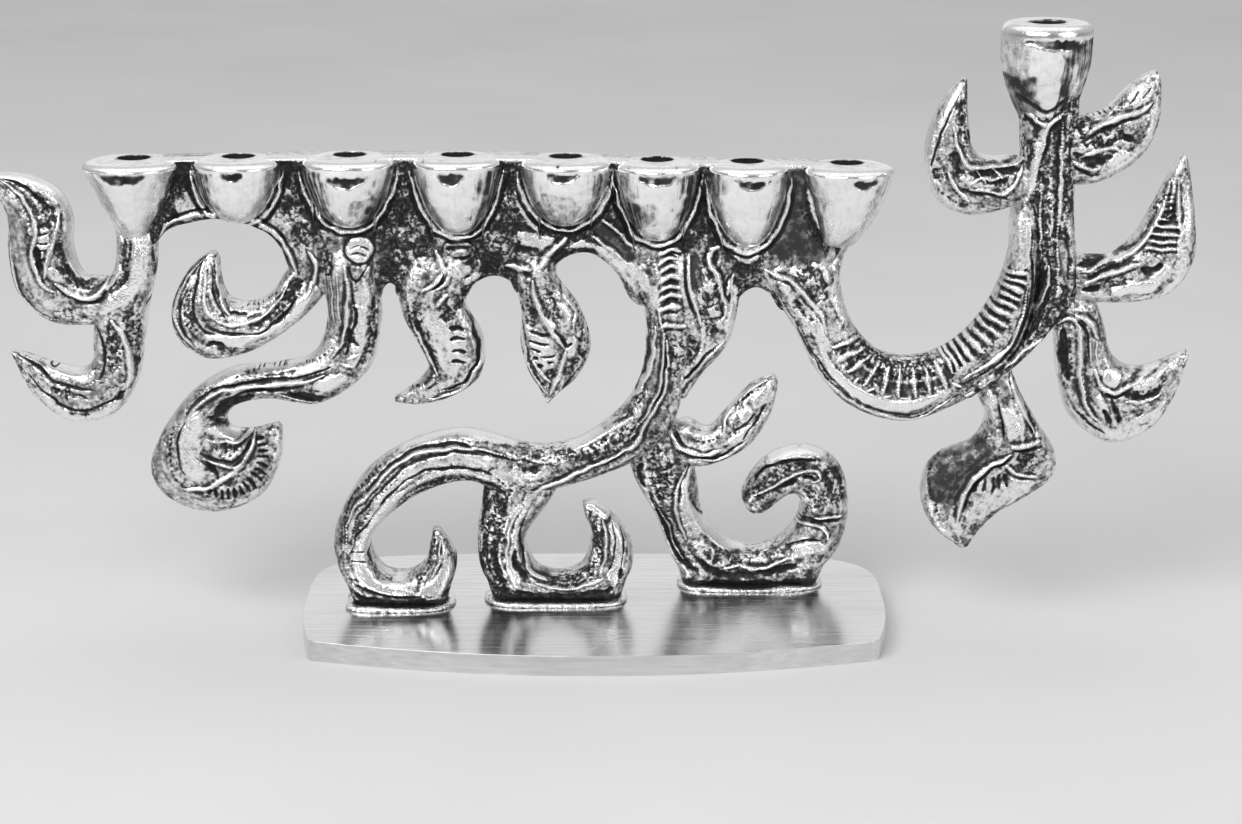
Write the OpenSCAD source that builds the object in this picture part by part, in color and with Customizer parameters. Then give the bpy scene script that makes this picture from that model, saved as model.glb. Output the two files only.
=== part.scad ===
// Nine-light candle stand: a cast openwork tree of scrolls and leaves on a polished plate.
// Millimetres, +Z up, the plate's underside at Z = 0, its middle at X = Y = 0, front at -Y.

/* [Base plate] */
// Width of the plate from side to side
base_width = 184; // [150:1:240]
// Depth of the plate from its back edge to the middle of its front edge
base_depth = 102; // [80:1:140]
// Thickness of the plate
base_thick = 6.35; // [4:0.05:12]
// How far the front edge bows out between its corners
base_bow = 13; // [4:0.5:30]
// How far each side draws in from its widest place to the front corner
base_side_bow = 4; // [1:0.5:10]
// Radius of the two front corners, seen from above
base_corner_radius = 4; // [2:0.5:12]
// Squareness of the rounded back half: 2 is an ellipse, 8 is nearly square
base_back_squareness = 4.8; // [2.5:0.1:8]

/* [Candle cups] */
// Diameter of the candle bore in the row of eight cups
bore_dia = 10.2; // [8:0.1:13]
// Depth of the candle bore in the row of eight cups
bore_depth = 12; // [8:0.5:14]
// Diameter of the candle bore in the raised ninth cup
raised_bore_dia = 11.4; // [8:0.1:13]
// Depth of the candle bore in the raised ninth cup
raised_bore_depth = 18; // [8:0.5:22]
// Radius of the rounded shoulder round each cup's flat top
shoulder_radius = 3; // [1.5:0.1:4]
// How far the bowls of the row stand in front of their bores
cup_forward = 4; // [2:0.1:5]
// Outer radius of the raised cup
raised_radius = 13.9; // [12:0.1:16]
// Height of the raised cup from its top to the foot of its bowl
raised_height = 28.5; // [26:0.5:34]
// Radius of the raised cup's foot
raised_neck = 8.7; // [7:0.1:10]
// Height of the raised cup's top over the upper end of its stem
raised_reach = 23; // [20:0.5:26]
// How far the raised cup stands to the left of its stem's middle
raised_offset = 1.3; // [0:0.1:2]

/* [Casting] */
// Distance from the first to the last cup of the row
row_length = 218; // [190:1:250]
// Height of the row's highest cup over the plate's underside
row_height = 150.5; // [135:0.5:170]
// Thickness of the strongest branches from front to back
branch_thick = 17; // [12:0.5:24]
// Thickness of the web that joins the cups
web_thick = 13; // [12:0.5:18]
// Steps that round each span between two edge points
span_steps = 3; // [2:1:5]

/* [Foot screws] */
// Diameter of the screw shank
screw_dia = 4; // [3:0.1:5]
// Diameter of the countersunk head
screw_head_dia = 8; // [7:0.1:9]
// Length of the screw with its head
screw_length = 13; // [10:0.5:14]
// Depth of the head under the plate's underside
screw_sink = 0.4; // [0.2:0.1:1]
// Width of the hexagon socket across its flats
screw_socket = 2.5; // [2:0.1:3]
// Radial gap between a screw and its holes
screw_gap = 0.15; // [0.05:0.05:0.3]

/* [Hidden] */
// Facets of the round parts
$fn = 64;
// The row's length and height and the plate's top that the sketches below are drawn for
sketch_row_length = 218;
sketch_row_height = 150.5;
sketch_floor = 6.35;
// Stretch of the sketches from side to side and upwards
stretch_x = row_length / sketch_row_length;
stretch_z = row_height / sketch_row_height;
// Lift that sets the sketched feet on the plate
lift = base_thick - sketch_floor * stretch_z;

// The row's cups from left to right: x, height of the flat top, outer radius, height of
// the bowl, and its shape, where 0 is full and round and 1 is a straight cone
cup_sketch = [
  [-140.5, 149.5, 15, 22.5, 1], [-108.5, 150, 13.6, 20, 0.2], [-74.5, 150.5, 14.4, 22, 0.2],
  [-41.5, 150.5, 13.8, 24, 0.3], [-8.5, 150, 14.2, 21, 0.1], [19.5, 149, 13.2, 24.5, 0.3],
  [47, 148.5, 12.6, 26.5, 0.1], [77.5, 148, 14, 23, 1]];
// Screw places under the left, centre and right foot
screw_sketch = [[-61, 0], [-10, 5], [50, 20]];
screw_at = screw_sketch * stretch_x;

// Each branch is lofted between its two edge curves. A row of a sketch holds
// x and z of one edge, x and z of the other, the middle's y, and the share of
// branch_thick there.
trunk_path = [
  [9, 121, 33, 122, 0, 1], [14.5, 110, 32, 110, 0, 1], [16, 95, 31.5, 95, 0, 1],
  [14.5, 81, 28.5, 80, 0, 1], [7.5, 69.5, 23, 62, 0, 1], [-6, 60, 6.5, 51, 0, 1],
  [-20.5, 58.7, -18, 46.5, 0, 1], [-40, 63.5, -39, 47.5, 0, 1], [-58, 59.3, -53, 44, 0, 1],
  [-73.3, 48, -64, 36.5, 0, 1], [-82, 29, -70.5, 27.5, 0, 1], [-77, 12, -67, 18.5, 0, 1],
  [-61, 5.9, -60, 16.5, 0, 1], [-47.5, 10.5, -54, 20, 0, 0.9], [-43.5, 21.5, -52, 26, 0, 0.7],
  [-48.5, 31, -51, 31, 0, 0.35]];
centre_foot_path = [
  [-34, 55, -8, 52, 0, 0.6], [-35, 43.5, -13.3, 41.5, 1, 1], [-37, 28, -21.3, 29, 3, 1],
  [-35, 15, -20, 20.5, 4, 1], [-26, 7, -16, 16, 5, 1], [-10, 5.9, -10, 15, 5, 1],
  [4, 8, -4.5, 17.5, 5, 1], [11.5, 16, -2, 22.5, 5, 0.9], [11.5, 26, -1, 29, 5, 0.75],
  [5.8, 34.5, -3, 34.5, 4, 0.55], [0, 39.3, -3.8, 38.8, 3, 0.35]];
right_foot_path = [
  [9, 64, 28, 66, 0, 0.6], [12, 49, 32, 49, 3, 1], [19.5, 32, 34.5, 32.5, 12, 1],
  [25, 16, 39.5, 24.5, 18, 1], [34, 7, 44.5, 20.5, 20, 1], [50, 5.9, 51, 19, 20, 1],
  [65.5, 7.5, 58.5, 21.5, 20, 1], [78, 18.5, 64, 27, 20, 1], [81.5, 34, 66, 33.5, 20, 0.95],
  [78, 47, 64.5, 37, 20, 0.9], [67, 53, 61.5, 37, 19, 0.9], [54.5, 49.3, 58, 34.5, 18, 0.8],
  [47.2, 39, 54.5, 31.5, 18, 0.65], [48.4, 33, 51.5, 31, 18, 0.45]];
big_leaf_path = [
  [22, 121, 40, 121, -1, 0.95], [23, 112, 43.5, 111, -1, 0.95], [24, 101, 44.3, 101, -1, 0.95],
  [27, 91, 41, 91, -1, 0.9], [24, 83, 34, 82.5, 0, 0.75], [22, 76, 28.6, 74, 0, 0.5]];
sprout_path = [
  [21, 63.5, 22, 56, 0, 0.5], [28.7, 67, 32, 52, 0, 0.85], [35.5, 64.5, 42, 55, -1, 0.8],
  [42, 71.5, 50, 61, -2, 0.7], [49, 79, 55.5, 70.5, -2, 0.5], [55.8, 81.8, 57.2, 79.5, -2, 0.3]];
left_arm_path = [
  [-133.5, 131, -147, 131, 0, 0.85], [-134.7, 116, -147.2, 117, 0, 0.9],
  [-137.3, 104, -153.5, 105, 0, 0.9], [-139.5, 92, -155, 93, 0, 0.9],
  [-142, 79, -155.5, 86.5, 0, 0.9], [-150, 68.7, -159.5, 83.3, 0, 0.85],
  [-163, 66.7, -168, 85, 0, 0.75], [-174.5, 75, -175, 87.7, 0, 0.5],
  [-180.3, 87, -180.8, 89.3, 0, 0.25]];
left_upper_leaf_path = [
  [-144, 98, -142, 109, 0, 0.5], [-156, 97.5, -151, 112.5, 0, 0.88],
  [-168, 98.7, -157.3, 113.3, 0, 0.9], [-177.5, 107.5, -160.2, 121.5, 0, 0.9],
  [-180, 120, -160, 131.5, 0, 0.85], [-179.7, 130, -164.5, 140, 0, 0.75],
  [-182, 137, -174, 144.2, 0, 0.6], [-186.5, 141, -183, 145, 0, 0.4],
  [-190.5, 143.3, -190, 144.6, 0, 0.2]];
inner_leaf_path = [
  [-80, 111, -88, 122, 0, 0.6], [-86.5, 103, -95, 114, 0, 0.9],
  [-95.5, 95.3, -99.5, 107.5, 0, 0.95], [-108, 88.5, -106, 104.2, 0, 0.95],
  [-120.5, 87, -112, 105.6, 0, 0.95], [-129, 93.5, -114.3, 109.3, 0, 0.9],
  [-130.3, 103.5, -115, 114.3, 0, 0.7], [-125, 114.5, -115.2, 118, 0, 0.45],
  [-118.3, 120.2, -116, 120, 0, 0.25]];
curl_path = [
  [-84, 126, -65, 126, 0, 1], [-83.5, 112, -66, 112, 0, 1], [-82.5, 99, -65.7, 98, 0, 1],
  [-87.5, 88, -70, 83, 0, 0.95], [-99.5, 84.7, -85, 72.7, 0, 0.95],
  [-113, 83, -100, 74.3, 0, 0.95], [-126, 75, -110.5, 72.5, 0, 0.95],
  [-135.5, 62, -114.3, 68.3, 0, 0.95], [-138.8, 50, -114.5, 66, 0, 0.95],
  [-132, 40.5, -113.3, 64.3, 0, 0.95], [-118, 37.2, -111, 63.6, 0, 0.95],
  [-104, 43, -106, 63.8, 0, 0.8], [-98, 55, -101.8, 65, 0, 0.55],
  [-97.5, 63.8, -99, 65.8, 0, 0.3]];
flame_path = [
  [-56, 123, -36, 123, 0, 0.95], [-60.3, 110.5, -39, 110.5, 0, 0.95],
  [-59, 100.5, -39, 102.5, 0, 0.95], [-54.5, 91.5, -34, 92.5, 0, 0.95],
  [-51.5, 84.5, -35.5, 81, 0, 0.85], [-54, 80, -45, 74.3, 0, 0.7],
  [-58.5, 76.3, -55, 72, 0, 0.5], [-62, 74, -62, 72.8, 0, 0.3]];
pendant_path = [
  [-27, 123, -8, 123, 0, 0.9], [-24.5, 112, -11.5, 113.5, 0, 0.9],
  [-22.5, 101, -4.5, 103, 0, 0.9], [-22.8, 92, -0.9, 91, 0, 0.85],
  [-20.5, 83, -4.7, 81.5, 0, 0.7], [-17, 77, -10.5, 76, 0, 0.5],
  [-14.9, 72.6, -14, 72.4, 0, 0.25]];
right_arm_path = [
  [45, 119, 77, 119, 0, 1], [53.5, 109, 76, 111, 0, 1], [61.7, 97, 79.5, 99, 0, 1],
  [68.7, 83.3, 86, 90.5, 0, 1], [79.5, 71.8, 93, 87.3, 0, 1], [96, 66.8, 101, 87.3, 0, 1],
  [111, 71.5, 110.5, 91.3, 0, 1], [124, 79.5, 118.5, 99, 0, 1], [133, 93, 124.5, 109.5, 0, 1],
  [136, 110, 127.8, 121, 0, 1], [137, 127, 128, 132, 0, 0.95], [137, 141, 131.5, 142, 0, 0.7]];
stem_path = [
  [129.5, 168, 147.5, 168, 0, 1], [130.3, 150, 147.3, 150, 0, 1], [131, 135, 147, 135, 0, 1.06],
  [135, 120, 148.3, 120, 0, 1.1], [136.5, 108, 149.5, 109, 0, 1.1],
  [132, 94, 143, 99, 0, 1.1], [122, 82, 132.5, 87, 0, 1.1], [112, 75.5, 118, 75.5, 0, 0.9]];
// Middle and height of the raised cup's top, from the upper end of its stem
raised_x = stretch_x * (stem_path[0][0] + stem_path[0][2]) / 2 - raised_offset;
raised_top = stretch_z * stem_path[0][1] + raised_reach;
raised_left_leaf_path = [
  [139, 139, 139, 150, 0, 0.45], [126, 134, 128, 150.3, 0, 0.9],
  [114.5, 132, 119.5, 150.3, 0, 0.95], [105.3, 136.5, 115.6, 153, 0, 0.9],
  [101.1, 147.5, 114.4, 159, 0, 0.8], [102.7, 160, 113.7, 166.5, 0, 0.65],
  [108, 169.8, 113.5, 171.5, 0, 0.4], [112, 174, 113.3, 174, 0, 0.25]];
raised_upper_leaf_path = [
  [140, 160, 140, 143, 0, 0.6], [149, 162.5, 150, 141.3, 0, 0.88],
  [155, 164.3, 160, 144.8, 0, 0.85], [161, 170.3, 168.5, 152, 0, 0.75],
  [166.5, 174.7, 172.2, 162, 0, 0.55], [170.6, 176.4, 172.2, 172.5, 0, 0.3]];
raised_middle_leaf_path = [
  [141, 119, 141, 107, 0, 0.65], [150, 119.3, 151, 105, 0, 0.95],
  [159, 119.5, 166, 104.8, 0, 0.95], [165.4, 124.5, 178, 107.8, 0, 0.9],
  [169.9, 132, 184.7, 118, 0, 0.75], [174.5, 141.5, 184.5, 131, 0, 0.55],
  [178.5, 149, 182.5, 144, 0, 0.35], [179.8, 150.7, 181.2, 149.8, 0, 0.25]];
raised_lower_leaf_path = [
  [139, 104, 153, 110, 0, 0.6], [142.5, 94, 157.3, 99.5, 0, 0.95],
  [143.8, 82, 160, 89.5, 0, 0.95], [148, 68.5, 164.5, 84.7, 0, 0.95],
  [160.5, 59.7, 169.7, 83.7, 0, 0.85], [173, 63.7, 174.7, 85, 0, 0.7],
  [180.4, 74, 179.6, 87.3, 0, 0.5], [184.6, 87.3, 183.8, 89.2, 0, 0.25]];
raised_bottom_leaf_path = [
  [117, 84, 128, 88, 0, 0.6], [119.5, 75, 132.7, 76, 0, 0.9],
  [122, 67.5, 138.5, 66, 0, 0.95], [118, 60, 144, 57, 0, 0.95],
  [108, 55.8, 143.7, 48.7, 0, 0.9], [102.9, 49, 136, 42.3, 0, 0.85],
  [102.9, 40, 127, 36.8, 0, 0.7], [107.2, 31.5, 121, 30.3, 0, 0.45],
  [115, 25.2, 118, 25.4, 0, 0.25]];
// The web's outline: x and z of its upper edge, then x and z of its lower edge
web_path = [
  [-134, 148.8, -131, 130], [-125, 149.1, -124, 128.5], [-112, 149.4, -113, 130.2],
  [-96, 149.7, -97, 123], [-78, 149.8, -83, 111], [-62, 149.8, -62, 110.7],
  [-46, 149.7, -46, 108.5], [-30, 149.6, -31, 112.8], [-15, 149.4, -15, 116],
  [-2, 149, -2, 120.7], [14, 148.5, 14, 110], [31, 148.1, 31, 107], [48, 147.8, 48, 109],
  [64, 147.5, 65, 111], [79, 147.3, 76, 122]];

// Section of a branch: rims along both edges, a sunken field and a midrib in front,
// and a plain rounded back. Shares of half the width and half the thickness.
branch_section = [
  [-1, -0.5], [-0.7, -1], [-0.42, -0.86], [0, -0.97], [0.42, -0.86], [0.7, -1],
  [1, -0.5], [1, 0.5], [0.6, 1], [-0.6, 1], [-1, 0.5]];

// One point of a smooth curve through the rows, t from row i to row i + 1
function smooth(rows, i, t) =
  let (a = rows[max(i - 1, 0)], b = rows[i], c = rows[i + 1],
    d = rows[min(i + 2, len(rows) - 1)])
  0.5 * (2 * b + (c - a) * t + (2 * a - 5 * b + 4 * c - d) * t * t
    + (3 * b - a - 3 * c + d) * t * t * t);

// A sketch stretched to the row's length and height
row_stretch = [stretch_x, stretch_z, stretch_x, stretch_z, stretch_x, 1];
function stretched(rows) = [for (r = rows) [for (i = [0:len(r) - 1]) r[i] * row_stretch[i]]];

// All rows of a stretched and smoothed sketch
function smoothed(path) = let (rows = stretched(path)) concat(
  [for (i = [0:len(rows) - 2]) for (k = [0:span_steps - 1]) smooth(rows, i, k / span_steps)],
  [rows[len(rows) - 1]]);

// Which side the second edge lies on, seen along the branch
function side(rows) =
  let (a = rows[0], b = rows[1], u = [a[2] - a[0], a[3] - a[1]],
    v = [b[0] + b[2] - a[0] - a[2], b[1] + b[3] - a[1] - a[3]])
  sign(v[0] * u[1] - v[1] * u[0]);

// The ring of section points at one row
function ring(row, section, thick) =
  [for (s = section) [
    (row[0] + row[2]) / 2 + s[0] * (row[2] - row[0]) / 2,
    row[4] + s[1] * row[5] * thick / 2,
    (row[1] + row[3]) / 2 + s[0] * (row[3] - row[1]) / 2]];

// A branch lofted through its smoothed rows and closed by a fan at each end
module loft(path, section, thick, from, to) {
  all_rows = smoothed(path);
  rows = [for (i = [from * span_steps:to * span_steps]) all_rows[i]];
  n = len(section);
  last = len(rows) - 1;
  turned = side(path) > 0;
  rings = [for (r = rows) for (p = ring(r, section, thick)) p];
  ends = [for (r = [rows[0], rows[last]])
    [(r[0] + r[2]) / 2, r[4], (r[1] + r[3]) / 2]];
  sides = [for (i = [0:last - 1]) for (j = [0:n - 1])
    let (a = i * n + j, b = i * n + (j + 1) % n)
    each [[a, b, b + n], [a, b + n, a + n]]];
  first_fan = [for (j = [0:n - 1]) [(j + 1) % n, j, len(rings)]];
  last_fan = [for (j = [0:n - 1]) [last * n + j, last * n + (j + 1) % n, len(rings) + 1]];
  faces = concat(sides, first_fan, last_fan);
  polyhedron(concat(rings, ends),
    [for (f = faces) turned ? f : [f[2], f[1], f[0]]], convexity = 10);
}

// A branch of the casting, or its stretch between two rows, at its height over the plate
module branch(path, from = 0, to = undef) {
  end = is_undef(to) ? len(path) - 1 : to;
  translate([0, 0, lift]) loft(path, branch_section, branch_thick, from, end);
}

// Everything under the plate's top, for grinding the feet flat
module under_floor() {
  translate([-base_width, -base_depth, base_thick - 20]) cube([2 * base_width, 2 * base_depth, 20]);
}

// The bodies of the screws, each grown by a gap for its hole
module screw_bodies(gap) {
  shank = screw_dia + 2 * gap;
  head = screw_head_dia + 2 * gap;
  for (p = screw_at) translate([p[0], p[1], screw_sink]) {
    cylinder(h = screw_length - screw_sink + gap, d = shank);
    translate([0, 0, -gap]) cylinder(h = (screw_head_dia - screw_dia) / 2, d1 = head, d2 = shank);
  }
}

// Edge of a cup of revolution from the middle of its flat top over its shoulder
function shoulder_edge(radius) = concat([[0, 0]], [for (a = [0:15:90])
  [radius - shoulder_radius * (1 - sin(a)), -shoulder_radius * (1 - cos(a))]]);

// Solid of a cup of revolution: flat top, rounded shoulder and bowl
module cup_body(radius, depth, taper) {
  drop = depth - shoulder_radius;
  bowl = [for (t = [0.12:0.11:0.9])
    [radius * ((1 - taper) * sqrt(1 - t * t) + taper * (1 - 0.62 * t)), -shoulder_radius - drop * t]];
  rotate_extrude() polygon(concat(shoulder_edge(radius), bowl, [[radius * 0.2, -depth], [0, -depth]]));
}

// Middle of one cup's bore at its flat top
function cup_at(i) = [cup_sketch[i][0] * stretch_x, 0, cup_sketch[i][1] * stretch_z + lift];

// One cup of the row at its place, without its bore
module cup_solid(i) {
  translate(cup_at(i) - [0, cup_forward, 0])
    cup_body(cup_sketch[i][2] * stretch_x, cup_sketch[i][3] * stretch_z, cup_sketch[i][4]);
}

// One cup of the row with its candle bore
module cup(i) {
  color([0.78, 0.79, 0.8]) difference() {
    cup_solid(i);
    translate(cup_at(i) - [0, 0, bore_depth]) cylinder(h = bore_depth + 5, d = bore_dia);
  }
}

// The raised cup without its bore
module raised_cup_solid() {
  drop = raised_height - shoulder_radius;
  wall = [for (t = [0.15:0.17:1])
    [raised_radius - (raised_radius - raised_neck) * pow(t, 2.2), -shoulder_radius - drop * t]];
  translate([raised_x, 0, raised_top + lift]) rotate_extrude()
    polygon(concat(shoulder_edge(raised_radius), wall,
      [[raised_neck * 0.6, -raised_height - 1.5], [0, -raised_height - 2]]));
}

module raised_cup() {
  color([0.78, 0.79, 0.8]) difference() {
    raised_cup_solid();
    translate([raised_x, 0, raised_top + lift - raised_bore_depth])
      cylinder(h = raised_bore_depth + 5, d = raised_bore_dia);
  }
}

// A power that keeps the sign of its base
function signed_pow(v, e) = sign(v) * pow(abs(v), e);

// Plan of the plate: squared-oval back half, drawn-in sides, rounded corners, bowed front
module plate_plan() {
  half = base_width / 2;
  reach = base_depth / 2;
  corner_x = half - base_side_bow - base_corner_radius;
  corner_y = base_bow - reach + base_corner_radius;
  bend = 2 / base_back_squareness;
  back = [for (a = [0:6:180]) [half * signed_pow(cos(a), bend), reach * pow(abs(sin(a)), bend)]];
  side_steps = [for (t = [0.15:0.15:0.9]) t];
  left_side = [for (t = side_steps) [-half + base_side_bow * t * t, corner_y * t]];
  left_corner = [for (a = [180:15:255])
    [-corner_x + base_corner_radius * cos(a), corner_y + base_corner_radius * sin(a)]];
  front = [for (k = [-10:10]) [corner_x * k / 10, base_bow * pow(k / 10, 2) - reach]];
  right_corner = [for (a = [285:15:360])
    [corner_x + base_corner_radius * cos(a), corner_y + base_corner_radius * sin(a)]];
  right_side = [for (t = [0.9:-0.15:0.1]) [half - base_side_bow * t * t, corner_y * t]];
  polygon(concat(back, left_side, left_corner, front, right_corner, right_side));
}

module base_plate() {
  color([0.8, 0.81, 0.82]) difference() {
    linear_extrude(base_thick) plate_plan();
    screw_bodies(screw_gap);
    for (p = screw_at) translate([p[0], p[1], -1])
      cylinder(h = 1 + screw_sink, d = screw_head_dia + 2 * screw_gap);
  }
}

module foot_screws() {
  color([0.55, 0.56, 0.58]) difference() {
    screw_bodies(0);
    for (p = screw_at) translate([p[0], p[1], -1])
      cylinder(h = 3, d = screw_socket / cos(30), $fn = 6);
  }
}

// Front outline of a sketch, or of its stretch between two rows
module outline(path, from = 0, to = undef) {
  all_rows = smoothed(path);
  end = is_undef(to) ? len(path) - 1 : to;
  rows = [for (i = [from * span_steps:end * span_steps]) all_rows[i]];
  one_edge = [for (r = rows) [r[0], r[1]]];
  other_edge = [for (i = [len(rows) - 1:-1:0]) [rows[i][2], rows[i][3]]];
  polygon(concat(one_edge, other_edge));
}

module web() {
  color([0.3, 0.31, 0.32]) difference() {
    translate([0, web_thick / 2, lift]) rotate([90, 0, 0]) linear_extrude(web_thick) difference() {
      outline(web_path);
      outline(trunk_path, 0, 2);
      outline(big_leaf_path, 0, 2);
      outline(left_arm_path, 0, 2);
      outline(inner_leaf_path, 0, 2);
      outline(curl_path, 0, 3);
      outline(flame_path, 0, 2);
      outline(pendant_path, 0, 2);
      outline(right_arm_path, 0, 2);
    }
    for (i = [0:7]) cup_solid(i);
  }
}

module cup_1() { cup(0); }
module cup_2() { cup(1); }
module cup_3() { cup(2); }
module cup_4() { cup(3); }
module cup_5() { cup(4); }
module cup_6() { cup(5); }
module cup_7() { cup(6); }
module cup_8() { cup(7); }

module trunk() {
  color([0.6, 0.61, 0.62]) difference() {
    branch(trunk_path);
    under_floor();
    screw_bodies(screw_gap);
  }
}

module centre_foot() {
  color([0.6, 0.61, 0.62]) difference() {
    branch(centre_foot_path);
    branch(trunk_path, 4, 9);
    under_floor();
    screw_bodies(screw_gap);
  }
}

module right_foot() {
  color([0.6, 0.61, 0.62]) difference() {
    branch(right_foot_path);
    branch(trunk_path, 2, 7);
    under_floor();
    screw_bodies(screw_gap);
  }
}

module big_leaf() {
  color([0.55, 0.56, 0.57]) difference() {
    branch(big_leaf_path);
    branch(trunk_path, 0, 5);
  }
}

module sprout() {
  color([0.6, 0.61, 0.62]) difference() {
    branch(sprout_path);
    branch(trunk_path, 2, 6);
    branch(right_foot_path, 0, 3);
  }
}

module left_arm() {
  color([0.6, 0.61, 0.62]) difference() {
    branch(left_arm_path);
    cup_solid(0);
  }
}

module left_upper_leaf() {
  color([0.6, 0.61, 0.62]) difference() {
    branch(left_upper_leaf_path);
    branch(left_arm_path, 0, 5);
  }
}

module inner_leaf() {
  color([0.6, 0.61, 0.62]) difference() {
    branch(inner_leaf_path);
    branch(curl_path, 0, 4);
  }
}

module curl() {
  color([0.6, 0.61, 0.62]) branch(curl_path);
}

module flame() {
  color([0.6, 0.61, 0.62]) branch(flame_path);
}

module pendant() {
  color([0.6, 0.61, 0.62]) branch(pendant_path);
}

module right_arm() {
  color([0.6, 0.61, 0.62]) difference() {
    branch(right_arm_path);
    branch(stem_path, 1, 7);
    branch(big_leaf_path, 0, 3);
  }
}

module stem() {
  color([0.5, 0.51, 0.52]) difference() {
    branch(stem_path);
    raised_cup_solid();
  }
}

module raised_left_leaf() {
  color([0.6, 0.61, 0.62]) difference() {
    branch(raised_left_leaf_path);
    branch(stem_path, 0, 4);
    branch(right_arm_path, 8, 11);
  }
}

module raised_upper_leaf() {
  color([0.6, 0.61, 0.62]) difference() {
    branch(raised_upper_leaf_path);
    branch(stem_path, 0, 4);
    raised_cup_solid();
  }
}

module raised_middle_leaf() {
  color([0.6, 0.61, 0.62]) difference() {
    branch(raised_middle_leaf_path);
    branch(stem_path, 2, 6);
  }
}

module raised_lower_leaf() {
  color([0.6, 0.61, 0.62]) difference() {
    branch(raised_lower_leaf_path);
    branch(stem_path, 2, 7);
    branch(raised_middle_leaf_path, 0, 3);
  }
}

module raised_bottom_leaf() {
  color([0.6, 0.61, 0.62]) difference() {
    branch(raised_bottom_leaf_path);
    branch(stem_path, 3, 7);
    branch(right_arm_path, 4, 9);
  }
}

base_plate();
foot_screws();
web();
cup_1();
cup_2();
cup_3();
cup_4();
cup_5();
cup_6();
cup_7();
cup_8();
raised_cup();
trunk();
centre_foot();
right_foot();
big_leaf();
sprout();
left_arm();
left_upper_leaf();
inner_leaf();
curl();
flame();
pendant();
right_arm();
stem();
raised_left_leaf();
raised_upper_leaf();
raised_middle_leaf();
raised_lower_leaf();
raised_bottom_leaf();
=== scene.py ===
import math
from collections import namedtuple
from functools import partial, partialmethod
from types import SimpleNamespace

import bpy
import numpy as np
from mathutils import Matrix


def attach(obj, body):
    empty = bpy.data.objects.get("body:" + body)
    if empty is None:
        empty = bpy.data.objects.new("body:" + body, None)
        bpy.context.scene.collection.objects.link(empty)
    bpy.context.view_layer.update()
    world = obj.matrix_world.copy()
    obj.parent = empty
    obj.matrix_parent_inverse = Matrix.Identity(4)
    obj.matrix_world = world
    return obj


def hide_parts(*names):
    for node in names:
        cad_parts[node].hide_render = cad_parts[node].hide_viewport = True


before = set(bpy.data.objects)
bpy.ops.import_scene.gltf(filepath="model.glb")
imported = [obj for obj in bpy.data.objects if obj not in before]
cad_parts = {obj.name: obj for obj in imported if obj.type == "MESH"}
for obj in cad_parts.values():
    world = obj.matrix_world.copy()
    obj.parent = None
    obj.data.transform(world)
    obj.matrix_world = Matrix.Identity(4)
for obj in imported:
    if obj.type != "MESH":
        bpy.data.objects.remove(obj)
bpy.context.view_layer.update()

# Sizes are in millimetres until the meshes are made.
MM = 0.001
PLATE_TOP = 6.35
# Spacing of the mesh points on the worked fronts, and columns of points on the plain backs.
STEP = 0.38
WEB_STEP = 1.15 * STEP
BACK_COLUMNS = 14
# Thickness of the branches and the web, and how square their sections are.
BRANCH_THICK = 17.0
BRANCH_POWER = 2.9
WEB_THICK = 13.0
WEB_POWER = 4.2
# The web's top lies a hair under the cups' tops and dips below each bore.
WEB_TOP_GAP = 0.03
WEB_DIP = 13.5
WEB_DIP_REACH = 8
# Half the web's usual height, columns of points across its top and its edge, and where its face starts.
WEB_HALF_HEIGHT = 21
WEB_TOP_COLUMNS = 9
WEB_EDGE_COLUMNS = 5
WEB_FACE_START = -0.955
# Patina of the web's polished top, its variation and its pits.
WEB_TOP_PATINA = 0.05
WEB_TOP_VARIATION = 0.12
WEB_TOP_PITS = 0.1

# Seeds of the noise: the web, the first branch, the first cup of the row, the raised cup and the first pad.
WEB_SEED = 11
BRANCH_SEED = 21
CUP_SEED = 300
RAISED_SEED = 411
PAD_SEED = 501
# Parts between two rows of a sketch and two points of a stroke, and samples round a section.
ROW_PARTS = 24
STROKE_PARTS = 12
SECTION_SAMPLES = 4001

# The casting's branches: x and z of one edge, x and z of the other, the middle's y,
# and the share of the branch thickness, from root to tip.
TRUNK = [
    [9, 121, 33, 122, 0, 1], [14.5, 110, 32, 110, 0, 1], [16, 95, 31.5, 95, 0, 1],
    [14.5, 81, 28.5, 80, 0, 1], [7.5, 69.5, 23, 62, 0, 1], [-6, 60, 6.5, 51, 0, 1],
    [-20.5, 58.7, -24, 42.5, 0, 1], [-40, 63.5, -39, 47.5, 0, 1], [-58, 59.3, -53, 44, 0, 1],
    [-73.3, 48, -64, 36.5, 0, 1], [-82, 29, -70.5, 27.5, 0, 1], [-77, 12, -67, 18.5, 0, 1],
    [-61, 5.9, -60, 16.5, 0, 1], [-47.5, 10.5, -54, 20, 0, 0.9], [-43.5, 21.5, -52, 26, 0, 0.7],
    [-48.5, 31, -51, 31, 0, 0.35]]
CENTRE_FOOT = [
    [-34, 55, -8, 52, 0, 0.6], [-35, 43.5, -13.3, 41.5, 1, 1], [-37, 28, -21.3, 29, 3, 1],
    [-35, 15, -20, 20.5, 4, 1], [-26, 7, -16, 16, 5, 1], [-10, 5.9, -10, 15, 5, 1],
    [4, 8, -4.5, 17.5, 5, 1], [11.5, 16, -2, 22.5, 5, 0.9], [11.5, 26, -1, 29, 5, 0.75],
    [5.8, 34.5, -3, 34.5, 4, 0.55], [0, 39.3, -3.8, 38.8, 3, 0.35]]
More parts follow.
